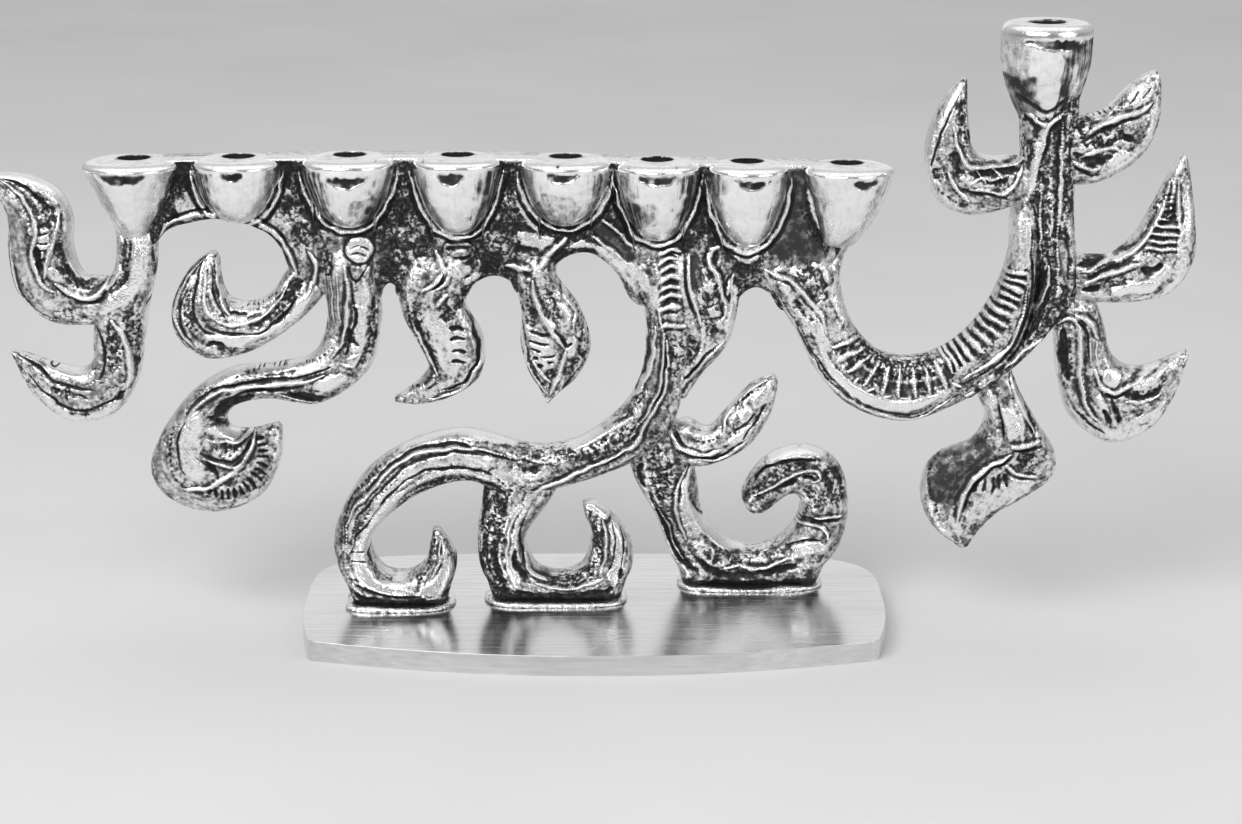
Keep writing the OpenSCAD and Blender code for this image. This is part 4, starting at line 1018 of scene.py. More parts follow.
def work_curl(r):
    r.darken(0.06)
    r.grey(4.2, -79.6, 122, -80.4, 112.6, -80, 104, -79.2, 97)
    for x in (-82.6, -80.8, -78.6):
        r.ridge(0.35, x, 115, x + 0.5, 106, x + 1, 98)
    r.stipple(2.2, -81.6, 122, -82, 114)
    r.light(2.6, -79.6, 94, -82.4, 89.6, -87, 86, -92, 83.4)
    r.dots(1.4, -80.4, 91.6, -84.6, 88.4, -90, 86)
    r.light(2.6, -70.4, 113, -70.6, 104, -72, 97, -73, 90, -75.6, 85.6)
    r.shade(1.4, -75, 97, -74.9, 91.6)
    r.shade(1.5, -67.4, 108, -67.8, 101.3, -68.2, 93.5, -71.4, 86.5)
    r.dots(0.9, -68.8, 100, -69.4, 92, -73, 85.6)
    r.light(0.7, -66, 103, -66.6, 92.4, -71.6, 82.6, -79, 76.4)
    r.cut(0.8, -74.1, 108.6, -73, 102.2, -74.6, 95.2, -76.3, 89)
    r.ridge(0.8, -76.3, 118.4, -75.2, 108.3, -76, 99.6, -78, 92.6, -81.4, 87.6)
    r.ridge(0.5, -73.6, 104.8, -70.4, 104.2)
    r.ridge(0.5, -76.4, 88, -72.4, 89.2)
    r.ridge(0.5, -77.4, 86.2, -73.4, 85.4)
    r.cut(0.6, -76, 94, -72, 92.4)
    r.cut(0.6, -75.4, 118.3, -72.8, 112.4, -68.6, 118.3)
    r.boss(-71.6, 122.4, 4.5)
    r.cut(0.5, -74.6, 122, -71.4, 123.6, -68.6, 122)
    r.cut(0.5, -74, 120.2, -71.4, 121.4, -69, 120.4)
    r.light(2, -91, 86.4, -103.3, 84.6, -112, 82.6, -119.8, 79)
    r.grey(1.4, -104, 83.6, -108.6, 82.4)
    r.dots(1.1, -94, 85.6, -103, 84, -112, 81.6)
    r.shine(2, -86.4, 78.6, -80.7, 80.6, -76, 82.4)
    r.cut(0.6, -80.6, 85.4, -84, 84.4, -91, 81.9, -101.5, 81.4, -108.5, 80, -116.3, 78.5, -124, 74)
    r.ridge(0.9, -82.4, 83.2, -89.3, 80.4, -98, 79.8, -106.7, 79, -115.4, 77.4, -122.4, 73.6, -127, 68)
    r.cut(0.7, -89, 78.9, -99.8, 78.3, -107.6, 77.4, -114, 75)
    r.black(1.3, -94.6, 77.2, -88.4, 75.4, -83, 75.4)
    r.ridge(0.5, -98, 77, -92, 75, -86, 73.9)
    r.black(2, -117, 69.4, -113.4, 73.6, -106, 76.2)
    r.grey(1.8, -124, 76.6, -129, 70.4, -132, 63)
    r.grey(2.6, -134.2, 61, -135, 53.5, -131.6, 45.7, -125.4, 41.2, -116.3, 39.4)
    r.light(3.2, -121.8, 71.4, -125, 65.7, -125.6, 60.4, -124.4, 53.5, -123, 49)
    r.shine(1.6, -122.6, 69.4, -125.2, 62)
    r.cut(0.5, -126.6, 68.6, -129, 62, -129.2, 55, -127, 50)
    r.dots(1.1, -130.4, 67, -131.6, 60.4, -132, 55.2, -130.9, 50, -128, 47)
    r.grey(1.2, -117, 63, -121, 60.6)
    r.black(1.4, -119, 69, -115, 66.6, -108, 65)
    r.shine(1.3, -119.4, 65.6, -114.6, 63.9, -110, 63.2)
    r.ridge(0.7, -120.2, 62, -115.4, 61.2, -110.2, 61.6, -105.9, 64.6)
    r.stipple(2, -118, 58.8, -111, 58.8)
    r.cut(0.7, -122.4, 58, -118, 56, -112.8, 54.8, -108.5, 58.5, -106.7, 62)
    r.ridge(0.5, -121.6, 56.4, -117, 54.2, -111.6, 53.2, -108, 56.6)
    r.black(0.8, -120.4, 55.2, -116.8, 49)
    r.cut(0.4, -124.4, 57.4, -119.6, 53)
    r.ridge(0.8, -129, 46.4, -123.3, 45.8, -117.2, 48.1, -110.2, 53.3, -106.7, 59.4, -105.9, 64)
    for k in range(15):
        turn = math.radians(255 + 8.8 * k)
        x = -116.5 + 11.4 * math.cos(turn)
        z = 58.2 + 12.2 * math.sin(turn)
        reach = 2.6 + 2.0 * math.sin(math.pi * k / 14)
        r.cut(0.75, x, z, x + reach * math.cos(turn - 0.1), z + reach * math.sin(turn - 0.1))
    r.light(1.2, -112, 40.4, -103, 45.6, -98.6, 55, -98.4, 63)


def work_flame(r):
    r.light(3.4, -50.4, 103, -47.3, 95, -44.8, 88, -43.6, 82)
    r.light(3.4, -41, 118, -42, 113.6)
    r.light(3, -41.4, 97.4, -40.6, 91, -41.4, 86)
    r.cut(0.6, -45.4, 122.2, -42.2, 123, -38.5, 122.3)
    r.black(0.8, -44, 122.4, -40, 122.6)
    r.cut(0.7, -42.8, 119.6, -40, 119.2, -37.6, 120.1)
    r.cut(0.6, -46.6, 120, -45.6, 124, -39.8, 125.2, -36.2, 122.4, -35, 119.6)
    r.ridge(0.9, -48.5, 122, -46.8, 117.6, -45.6, 116, -48, 112.4, -53, 109)
    r.cut(0.6, -46, 115.4, -47, 112, -50, 109.6)
    r.ridge(0.7, -44, 116, -45.4, 111.8, -49, 109.6)
    r.light(1, -34.9, 118.6, -36.2, 113.6, -41, 109.9, -43.5, 108.4)
    r.shade(0.9, -42.9, 108.4, -41.2, 106, -41.8, 102.8)
    r.ridge(0.8, -44.6, 108.6, -48.6, 104)
    r.shade(1.8, -46.4, 103.4, -43.4, 100.8)
    r.dots(1, -48, 102.4, -44.6, 99)
    r.shade(1.3, -54.4, 107, -54.2, 100, -51.8, 93, -49.2, 88, -48.1, 83)
    r.dots(1, -56.8, 106, -56.6, 100, -54, 94, -51, 88)
    r.ridge(0.6, -56.2, 100, -53.1, 93, -50.6, 87.4, -48, 81.4)
    r.grey(1.7, -38.2, 96, -37.6, 88)
    for z in (97.4, 94.2, 90.4, 87):
        r.cut(0.9, -44.6 + 0.1 * (97 - z), z, -42, z + 0.4, -39.6 + 0.05 * (97 - z), z - 0.2)
    r.cut(0.7, -39.8, 103.4, -36.8, 96.8, -35.6, 91.8, -36.2, 86.8, -39.2, 81.6, -43, 79, -47.3, 77)
    r.ridge(0.7, -40.7, 106.6, -38.3, 101.8, -35.3, 96.8, -34.2, 91.8, -35, 86.6, -37.6, 82, -41.2, 78,
            -46, 75.6, -51.6, 74.4)
    r.grey(1.6, -60, 75, -54.8, 78, -51.6, 81.4)
    r.shine(0.8, -60.4, 75, -57.6, 75.8)
    r.dots(1, -57.6, 77, -53.4, 78.6)
    r.ridge(0.8, -52, 78, -49.4, 81.2)


def work_pendant(r):
    r.light(3, -18, 96, -16.4, 90, -13.6, 84)
    r.light(2.4, -12, 105, -8, 98.6)
    r.stipple(2.4, -14.2, 111, -13.6, 104, -10.8, 98.6)
    r.light(1.6, -17.6, 118, -17.2, 114)
    r.shade(1.3, -18.7, 104.4, -19.4, 98)
    r.dots(1.2, -20.6, 110, -20.4, 104)
    r.shade(1.6, -4.2, 99.4, -4.4, 90.5, -6.8, 85)
    r.stipple(1.8, -13.6, 84, -12, 81.4)
    r.light(1.6, -6.2, 95, -7, 88)
    for x0, z0, x1, z1 in (
            (-19.8, 96.3, -13.6, 95.5), (-20.2, 93.7, -13.6, 92.5), (-19.8, 90.7, -16.4, 90.2),
            (-16.8, 88.2, -11.6, 89), (-19, 88.2, -17.4, 87.8), (-14.6, 86.4, -12.2, 87),
            (-17.4, 85.8, -15.6, 85)):
        r.cut(0.8, x0, z0, (x0 + x1) / 2, (z0 + z1) / 2 - 0.3, x1, z1)
    r.ridge(1.1, -18.6, 113, -17.4, 105.5, -14.8, 99.9, -11.6, 95.5, -9, 91.4)
    r.ridge(0.8, -8.5, 91, -9.8, 85.5, -11.6, 80.5, -13.6, 75.6)
    r.cut(0.9, -12, 97.4, -8.6, 92.2, -6.6, 93.2)
    r.black(0.9, -20.4, 115, -19.8, 113.4)
    r.ridge(0.6, -22.5, 106, -22.4, 96.8, -21.2, 88, -18.6, 82.2, -14.4, 75.8)
    r.ridge(0.5, -19.2, 87.2, -16, 82.8, -13, 79.6)
    r.dots(0.8, -20.4, 86.6, -17.6, 81.8, -14.4, 78)
    r.ridge(0.6, -11, 113.4, -8.6, 107.4, -5.6, 102.4, -6, 96.6)
    r.dots(1, -8.1, 108, -5, 103, -2.6, 98.6, -1.8, 93, -3.8, 85.5, -8, 80.3, -11.2, 76)
    r.ridge(1, -27, 117.2, -23.5, 116.4, -19, 116)
    r.ridge(1, -11, 123, -14.8, 119, -16.8, 116.6)


def work_right_arm(r):
    r.stipple(3.4, 60, 118, 66, 114, 71, 106)
    r.light(1.3, 74.2, 114, 75.4, 105, 78, 99)
    r.light(2.1, 58, 111.4, 64.7, 103.4, 69.3, 96.4, 71.6, 91)
    r.shade(1, 61.6, 107.4, 66.8, 100.6)
    r.ridge(0.8, 47.5, 117.7, 53.8, 115, 60, 112.5, 64.7, 108.4, 69.3, 102.5, 72.4, 95)
    r.ridge(0.6, 55.9, 109.4, 60.4, 101.6, 64.9, 91.6, 70.4, 82.5, 76.7, 76.2, 85.6, 71, 93, 68.4, 101,
            68.8, 107.4, 72.7, 113, 78)
    r.cut(0.6, 62, 102, 66.4, 92, 71, 85, 76, 79.4, 83.4, 74, 91, 70.4, 98.4, 70.2, 105, 72.4)
    r.stipple(4, 82, 96, 85, 90, 91, 86, 98, 84.6, 106, 87.6)
    for turn in range(9):
        angle = math.radians(197 + 13 * turn)
        wobble = math.sin(5.3 * turn)
        lean = np.array([math.cos(angle + 0.1 * wobble), math.sin(angle + 0.1 * wobble)])
        side = np.array([math.cos(angle + 0.11), math.sin(angle + 0.11)])
        inner = np.array([97 + 17.4 * math.cos(angle), 98.6 + 15.6 * math.sin(angle)])
        panel = np.array([97 + 20.4 * math.cos(angle + 0.11), 98.6 + 18.6 * math.sin(angle + 0.11)])
        r.draw("slate" if turn % 3 else "shade", 1.5, *panel, *(panel + (3.2 + wobble) * side))
        r.cut(0.6, *(panel - 2.4 * side), *(panel - 0.6 * side))
        r.ridge(0.8, *(inner - 2 * lean), *(inner + 7.6 * lean))
        r.ridge(0.5, *(panel + 4.8 * side - 1.6 * lean[::-1]), *(panel + 4.4 * side + 1.2 * lean[::-1]))
    r.dots(1.5, 81.6, 97, 85.6, 90.6, 91.6, 87, 98, 85.4, 105, 87.6)
    near = curve_points(3, 107, 91.4, 112, 93.6, 118, 100, 122, 107.5, 124.8, 113.5, 126.4, 120)
    away = curve_points(3, 111, 83.4, 117.5, 87.6, 125.6, 95.2, 130.4, 104, 132.6, 112, 132.8, 119)
    for k in range(len(near) - 1):
        start = (near[k] + near[k + 1]) / 2
        reach = (away[k] + away[k + 1]) / 2 - start
        gap = 0.45 + 0.2 * math.sin(3.7 * k)
        r.grey(0.5, *(start + 0.2 * reach), *(start + 0.8 * reach))
        r.cut(0.65, *(start + 0.06 * reach), *(start + gap * reach))
        r.cut(0.4, *(start + (gap + 0.1) * reach), *(start + 0.98 * reach))
        r.ridge(0.85, *(near[k] + 0.1 * math.sin(2.9 * k) * reach), *away[k])
    r.shine(1.7, 69.3, 94.4, 73.6, 84.5, 80, 78, 88.4, 73.6, 95.6, 72.7, 103, 74.5, 109, 78)
    r.light(3.4, 129.6, 133, 130.2, 124, 129.8, 115.5)
    r.cut(0.8, 133.6, 130, 133.8, 120, 134.4, 110, 132.6, 99, 129, 91, 122, 84.6, 114, 80)
    r.ridge(0.6, 133, 112, 131.4, 99.4, 127.6, 91.4, 121, 86, 113, 81.4)
    r.grey(0.9, 127.6, 128, 127, 118, 123, 106)


def work_stem(r):
    r.band("stipple", 0, 7, -1, 1)
    r.darken(0.1)
    r.light(1.5, 136.9, 164, 135.2, 153.3, 132.7, 143.3, 130.4, 137)
    r.grey(1.4, 131.6, 162, 132, 156)
    r.shade(1.7, 138.3, 158, 138.3, 146.7, 136.9, 135)
    r.shade(1.5, 143.4, 156, 144.4, 146.7, 144, 136)
    r.ridge(0.8, 141.4, 162, 141.8, 150, 141.8, 138.3, 141.4, 126)
    r.cut(0.6, 137.4, 158, 136.8, 152, 134.4, 142)
    r.ridge(0.5, 136.2, 141, 136, 130, 136.6, 120)
    r.ridge(0.5, 139.4, 136, 139.6, 126)
    r.dots(1, 133.4, 137, 133.6, 128, 135, 120)
    r.dots(1, 138, 135, 138, 126, 139, 117)
    r.ridge(0.7, 136.8, 159, 140.2, 163.6)
    r.cut(0.9, 131.4, 166.8, 136.7, 162.6, 142.6, 166)
    r.ridge(0.8, 130.4, 164.8, 136.4, 161, 141.6, 163.4)
    r.light(0.9, 144.8, 133, 146.4, 121, 146.6, 110)
    r.grey(1.6, 142.6, 126, 143.4, 114)
    r.ridge(0.5, 141.4, 124, 142, 113)
    r.stipple(1.8, 141, 112, 145, 107)
    r.ridge(0.8, 139, 118, 138.4, 109, 135.4, 102.6, 131.8, 93.6)
    r.cut(0.8, 137.2, 115, 136.6, 107, 133.8, 101, 130.4, 93)
    r.shade(3, 139, 103, 136, 97, 130, 89)
    r.ridge(0.8, 142.6, 96.4, 136.4, 93.2, 131.4, 90, 126.8, 85)
    r.light(1, 124, 84, 119, 78.6)


def work_raised_left_leaf(r):
    r.light(2, 111.7, 172.6, 107.5, 166, 103.4, 156.7, 102.2, 150, 103.5, 143, 108.3, 136.6, 113.3, 134.4)
    r.shine(1.3, 110.8, 171, 107.4, 165, 104.4, 158)
    r.grey(1.8, 106, 154, 107.6, 160, 109, 164)
    r.stipple(1.6, 104.6, 148, 105.4, 143)
    r.cut(0.6, 110.8, 169, 106.9, 161.8, 103.9, 153, 102.6, 147.6)
    r.shade(1.6, 111.5, 167.6, 111.9, 160.6, 113.2, 153.6)
    r.shade(1.6, 108.8, 152, 109.6, 149, 111.7, 145.4)
    r.light(1.5, 115, 152.2, 122.5, 150.8, 128.6, 153)
    r.black(1.6, 114.2, 145.6, 121.7, 146.4, 129, 147)
    r.shade(2.2, 119, 143, 126, 142.6)
    r.ridge(0.6, 115, 142.5, 118, 145, 120.8, 144.2, 126.7, 145.8)
    r.ridge(0.5, 116, 147, 119.4, 142.6)
    r.ridge(0.5, 121, 147.4, 124.6, 144)
    r.cut(0.7, 111.7, 141.4, 116.7, 139.4, 121.7, 139, 126.4, 138)
    r.ridge(0.7, 114, 140.6, 120, 140.4, 124.2, 139.2, 128.4, 143.3, 130.4, 149)
    r.ridge(0.8, 108.6, 161, 110.8, 153.3, 113, 149, 115.8, 148, 123.3, 148, 129.2, 149.6, 132.6, 153.6)
    r.ridge(0.6, 107, 146.7, 110, 141.5, 114.2, 137.2)
    r.dots(1.2, 104.6, 142, 106, 139.6, 109, 137.6)
    r.dots(0.9, 109, 137.6, 114, 136)


def work_raised_upper_leaf(r):
    r.light(2.2, 151.6, 163, 157.5, 166.4)
    r.dots(1.2, 152, 163, 158, 165.6)
    r.shine(2.6, 162, 167, 166.8, 172.4)
    r.grey(1.1, 152.5, 164.6, 160, 169.8, 166.7, 175)
    r.cut(0.5, 161.4, 166.6, 165, 170.6)
    r.cut(0.5, 165.6, 168.4, 169, 171.6)
    r.shade(2.4, 150, 155, 156, 157, 160.8, 159.6)
    r.grey(1.5, 162.6, 161.6, 166.4, 163.4)
    r.black(1.2, 160.6, 157.6, 163.6, 155.6)
    r.dots(1.3, 148, 154, 154, 154.6, 160, 156.6)
    r.shine(1.5, 156.6, 148.8, 162.4, 152.2)
    r.light(1.4, 150, 143, 158.3, 146, 165, 151.4, 169.2, 158.3, 170.9, 168)
    r.black(1.2, 146, 152, 151, 149.6, 157, 150.8)
    r.ridge(0.7, 147.6, 150.4, 152.5, 152.6, 157, 153.6, 160, 152.4)
    r.cut(0.7, 147, 155, 151.8, 157.4, 158.4, 160.8, 165.8, 163.4)
    r.ridge(0.8, 146.7, 156.7, 151.7, 159.2, 158.3, 162.5, 165.8, 165, 169.4, 167.6)
    r.ridge(0.7, 145, 150, 149.2, 147.4, 154, 147.4)
    r.cut(0.6, 145.6, 148.4, 149.4, 145.6, 154, 145.4)
    r.shade(2.6, 143.6, 163, 148.6, 163.4, 148.4, 157)


def work_raised_middle_leaf(r):
    r.black(1.4, 149, 117.6, 156, 119, 163, 121.6)
    r.light(1.4, 150, 109, 158, 107.6)
    r.shade(2, 156, 111.4, 160.6, 112.4, 165, 113)
    r.shine(1.9, 158.6, 108.6, 166.8, 110.4, 173.2, 111.4)
    r.light(2.2, 172, 113.6, 176.6, 116)
    r.black(1.4, 168, 116.4, 171, 115.6, 173.6, 117.4)
    r.ridge(0.8, 148.6, 114.8, 156.8, 118, 165, 121.6, 170, 127, 174.2, 135.8, 175.8, 143.3)
    r.cut(0.8, 149.6, 113.2, 158.6, 116.6, 165.6, 119.8)
    r.ridge(0.8, 149.5, 111.4, 157.7, 114.8, 167.7, 118.4)
    r.black(0.9, 150, 109.8, 155, 110.6)
    for z in (121.4, 123.6, 125.8, 128.2, 130.6):
        r.cut(0.7, 167.4 + 0.45 * (z - 121), z, 179.4, z - 0.4)
        r.ridge(0.6, 168 + 0.45 * (z - 121), z + 1.1, 179.2, z + 0.7)
    r.shade(1.5, 175.6, 139, 176.8, 130.6)
    for z in (131.6, 133.4, 135.2, 137, 138.8):
        r.cut(0.5, 174.4, z, 178, z + 0.2)
    r.ridge(0.7, 178.3, 142.5, 178.5, 135, 179.4, 126, 179, 119)
    r.shine(1.2, 178.6, 149.4, 177, 144.4)
    r.light(1.7, 181, 140, 181.9, 131.7, 181.2, 122, 178.4, 114)
    r.light(0.9, 178.3, 150, 173.4, 142.6, 168.4, 132.8, 163.4, 125.2)
    r.stipple(1.5, 173, 139, 168.6, 130.6)
    r.light(1.2, 182.4, 120.6, 179.5, 112.4, 173.2, 107.4, 164, 106.2)


def work_raised_lower_leaf(r):
    r.black(1.6, 144.6, 97, 145.2, 88.2, 147, 81.4)
    r.dots(1.1, 146.6, 95, 147.2, 88, 148.8, 80)
    r.light(1.8, 144.6, 79, 146.4, 71.6, 151.8, 65.2)
    r.light(2.8, 154, 64, 162.3, 62.6, 171.4, 67, 177, 73.6)
    r.grey(1.7, 153, 95, 154.2, 87)
    r.ridge(0.4, 152.4, 95, 153.2, 87.6)
    r.ridge(0.4, 154.6, 94, 155.2, 87)
    r.grey(1.6, 180, 83.6, 179, 75.5)
    r.black(1.4, 164, 76.8, 170.5, 75, 176.4, 78.6)
    r.dots(1.1, 167, 76.8, 173, 77.8, 177.6, 81)
    r.shine(2.8, 157.4, 83.4, 162.6, 80.8)
    r.shine(1.3, 167.2, 78, 172.3, 81, 177, 85)
    r.ridge(0.6, 165, 74, 170.5, 74, 176, 76.4)
    r.shine(1.2, 156.4, 76, 158.8, 70.6)
    r.black(0.9, 157.7, 71.8, 160.6, 67)
    r.black(0.8, 160.5, 75.5, 163.3, 67.2)
    r.dots(1, 150.8, 86.4, 151.8, 77.3, 155.4, 69.6)
    r.ridge(0.9, 155, 85, 156.8, 79, 161.4, 77.5, 166.8, 79.8, 172.3, 84, 180.8, 88.8)
    r.cut(0.6, 158, 77, 162, 76, 167, 78)
    r.ridge(0.9, 141.4, 98.6, 146, 100.5, 149.3, 98, 150, 89, 151, 79, 153.2, 71.8, 156.8, 67.7)
    r.ridge(0.9, 147.7, 101.4, 153.2, 99, 155.4, 94)
    r.cut(0.6, 148.4, 99.8, 151.8, 96, 152.4, 88)
    r.cut(0.6, 149.5, 71.4, 154, 67, 159, 63.8)
    r.light(0.7, 142.7, 91, 143.7, 81, 146.5, 71)
    r.grey(1, 167.7, 84.8, 175, 86.4, 182.3, 88.8)


def work_raised_bottom_leaf(r):
    r.darken(0.05)
    r.grey(1.7, 126.2, 82, 127.5, 76)
    r.light(1.5, 122.6, 77, 123, 68.6)
    r.shade(1.5, 135.2, 70.4, 135.6, 64)
    r.light(1.1, 130.4, 80, 132.4, 71, 132.8, 64)
    r.ridge(0.7, 128.8, 84, 131.2, 75.5, 134.2, 70, 136.8, 64)
    r.shine(2, 126.6, 72.4, 129.6, 67.3, 129.8, 61.6)
    r.cut(0.5, 125, 74, 126.6, 67, 127.4, 62)
    r.slate(5.6, 124, 59.6, 113, 54.6, 107.6, 48, 108.4, 41)
    r.slate(3.4, 120, 54.6, 113, 47, 111, 40)
    r.stipple(2.6, 131.6, 57, 137.4, 54.4)
    r.light(3.5, 136.4, 47.6, 130.4, 45, 122.3, 40.6, 117.4, 34)
    r.light(1.4, 112, 36, 115, 30)
    r.light(2.4, 119.6, 46.6, 124, 47.6)
    for ends in ((118.6, 45, 119.6, 48.6), (121.4, 45, 122.3, 50), (124, 44.2, 125, 50.4),
                 (126.6, 46, 126.4, 51), (129, 47, 128, 51)):
        r.cut(0.9, *ends)
    r.cut(0.7, 129.2, 55.6, 124.6, 52.8, 119.6, 48.4, 117.2, 44, 115.6, 38)
    r.ridge(1, 129.8, 57.6, 125, 54.4, 119.5, 50, 116.4, 45.5, 114.5, 40, 114, 33)
    r.ridge(0.7, 127.7, 54.4, 131.4, 51, 138.6, 49.8)
    r.ridge(0.5, 130, 49, 136, 48.4)
    r.cut(0.7, 130.4, 58.6, 135, 58.8, 140, 60)
    r.ridge(0.9, 129.6, 59.8, 134, 60.2, 139, 61.6)
    r.light(1.1, 117, 63.6, 106.8, 57.8, 103.6, 51.6, 103.5, 43.6, 107, 34.6, 113.4, 28)
    r.dots(0.8, 109, 57.4, 105, 51, 105.2, 43.6, 109, 36)
    r.grey(0.9, 139.6, 64, 143, 55, 141.6, 50)


def lip(bowl):
    """Points x, z of the line round a bowl where it meets the web."""
    deep = np.linspace(2.5, bowl.height - 1.5, 7)
    reach = bowl_radius(bowl, deep) + 0.7
    level = bowl.top - deep - 0.4
    left = np.stack([bowl.x - reach, level], axis=1)
    right = np.stack([bowl.x + reach, level], axis=1)
    foot = np.array([[bowl.x, bowl.top - bowl.height - 1.2]])
    return np.concatenate([left, foot, right[::-1]])


def work_web(r):
    """The web: bright lips round the bowls and dark, stippled valleys between them."""
    r.lay(1, *WEB_GROUND)
    r.base(6, -90, 126, -88, 110)
    r.base(9, -75, 130, -75, 108)
    r.base(6, -43, 128, -47, 108)
    r.base(5, -18, 126, -18, 112)
    r.base(10, 14, 126, 18, 104)
    r.base(8, 34, 124, 34, 106)
    r.base(11, 62, 124, 62, 106)
    for work in (work_curl, work_flame, work_pendant, work_trunk, work_big_leaf, work_inner_leaf):
        work(r)
    r.black(3, -124.4, 150, -125.4, 142.6)
    r.base(4.6, -127, 134, -122, 135, -117, 132)
    r.base(1.4, -127.6, 135, -122, 138, -118, 138)
    r.shade(4.2, -93.6, 150, -93.6, 138, -91, 129, -87.5, 122)
    r.base(3.4, -102, 130, -97, 130, -93, 122)
    r.black(2.2, -93.4, 150, -93.6, 143)
    r.shade(3.2, -60, 150, -60, 136)
    r.shade(4.4, -59.6, 130, -57, 121, -56, 114)
    r.shade(3.8, -29.6, 150, -30, 141, -27, 132)
    r.black(1.8, -30, 150, -26, 146.6)
    r.light(1.1, -23.8, 143, -21.4, 134, -17, 128)
    r.shade(2.6, -33, 128, -27, 124, -23, 122)
    r.light(2.1, -23, 127, -17, 124.6, -12, 125.6)
    r.black(0.9, -24, 122.6, -17, 121.6)
    r.ridge(1, -8, 126, -12, 122.6, -16, 119.4)
    r.slate(2.1, 0.5, 129.4, 5, 125.4, 12.4, 118.4)
    r.ridge(0.7, 2.5, 131.4, 7, 128, 14, 121.4)
    r.ridge(0.7, -1, 127, 4, 122.9, 9, 118.8)
    r.light(1.3, 4.4, 147, 3.6, 138, 1.2, 131.6)
    r.light(1.4, -9, 122.6, -1, 123.4, 6, 118, 13, 109)
    r.black(2.8, 31.8, 148, 31.6, 138, 32.6, 127)
    r.slate(5.4, 60.2, 150, 59.6, 137, 60, 127, 57, 119)
    r.slate(4, 66, 126, 66.6, 117)
    r.light(3.2, 43, 121.4, 51, 121.6)
    r.grey(1.8, 73.4, 123, 71.7, 116)
    r.dots(1.4, 63, 137, 66, 128, 70, 123)
    for bowl in CUPS[1:7]:
        line = lip(bowl)
        outside = np.stack([line[:, 0] + 1.3 * np.sign(line[:, 0] - bowl.x), line[:, 1] - 0.78], axis=1)
        r.cut(0.7, *outside.reshape(-1))
        r.ridge(0.8, *line.reshape(-1))
    r.cut(0.5, -131, 129.4, -127, 132.4, -121, 134.2, -113, 135, -105, 133, -97.4, 129, -93.4, 123.4, -90,
          115)
    r.ridge(1, -133, 125.6, -130, 129.4, -124, 132, -113, 133, -103, 130.6, -96.4, 126, -92.4, 119, -90.8,
            112)
    r.ridge(0.8, -128.4, 146, -130.2, 139.6, -133.4, 134)
    r.ridge(0.9, 64.8, 144, 66.1, 138.9, 68, 132, 70.7, 126.4, 74.4, 124.5)


def web_rows():
    """Places and rows of the web, with its top under the cups' tops and dipped below each bore."""
    cups = np.array(CUPS)
    rows = np.array(WEB, dtype=float)
    rows[:, 1] = np.interp(rows[:, 0], cups[:, 0], cups[:, 1]) - WEB_TOP_GAP
    places, rows = even_rows(rows, WEB_STEP)
    nearest = np.abs(rows[:, 0:1] - cups[:, 0]).min(axis=1)
    rows[:, 1] = rows[:, 1] - WEB_DIP * ramp(WEB_DIP_REACH - nearest, 0.6)
    return places, rows


def web_share(u):
    """Share of the web's half thickness: full above the middle, rounded below it."""
    return np.where(u < 0, 1, section_height(u, WEB_POWER))


def web(node, seed, metal):
    """The web that carries the cups: flat polished top, worked front, rounded lower edge."""
    places, rows = web_rows()
    ease = np.linspace(0, math.pi / 2, WEB_EDGE_COLUMNS)
    top_share = np.concatenate([np.linspace(0, 0.9, WEB_TOP_COLUMNS), 0.92 + 0.08 * np.sin(ease)])
    top_u = np.concatenate([np.full(WEB_TOP_COLUMNS, -1.0), -1 + 0.03 * (1 - np.cos(ease))])
    face_u = front_columns(WEB_HALF_HEIGHT, WEB_THICK / 2, WEB_POWER, WEB_STEP)
    face_u = face_u[face_u > WEB_FACE_START]
    share = np.concatenate([top_share, web_share(face_u)])
    relief = Relief(places, rows, np.concatenate([top_u, face_u]), seed)
    work_web(relief)
    relief.settle()
    top = np.arange(len(share)) < len(top_u)
    wear = noise(relief.x, 6 * share + 0 * relief.x, 4.0, seed + 9)
    relief.height[:, top] = 0
    relief.patina_and_painted_light[:, top] = WEB_TOP_PATINA + WEB_TOP_VARIATION * wear[:, top]
    relief.pits[:, top] = WEB_TOP_PITS
    front_y = -WEB_THICK / 2 * share - relief.height
    back_u = np.cos(np.linspace(0, 0.85 * math.pi, BACK_COLUMNS)[1:])
    back_x, back_z = across(rows, np.concatenate([back_u, top_u[:0:-1]]))
    back_y = WEB_THICK / 2 * np.concatenate([web_share(back_u), top_share[:0:-1]]) + 0 * back_x
    place(worked_mesh(node + "_cast", relief, front_y, back_x, back_y, back_z, metal), node)


def cup_wall(cup, angle, east, south):
    """Rings of points and their patina from a cup's top edge down its wall."""
    ease = np.linspace(0.12, math.pi / 2, CUP_SHOULDER_RINGS)
    wall = np.linspace(cup.shoulder + 0.4, cup.height - 0.4, CUP_WALL_RINGS)
    deep = np.concatenate([cup.shoulder * (1 - np.cos(ease)), wall])[:, None] + 0 * angle
    radius = cup.radius(deep)
    tone, dent = cup.paint(angle + 0 * deep, deep, radius)
    low = np.clip(deep / cup.height, 0, 1) ** 3
    x = cup.x + cup.end.sway * low + (radius - dent) * east
    y = -cup.forward + cup.end.tuck * low + (radius - dent) * south
    return np.stack([x, np.minimum(y, cup.back), cup.top - deep], axis=-1), tone


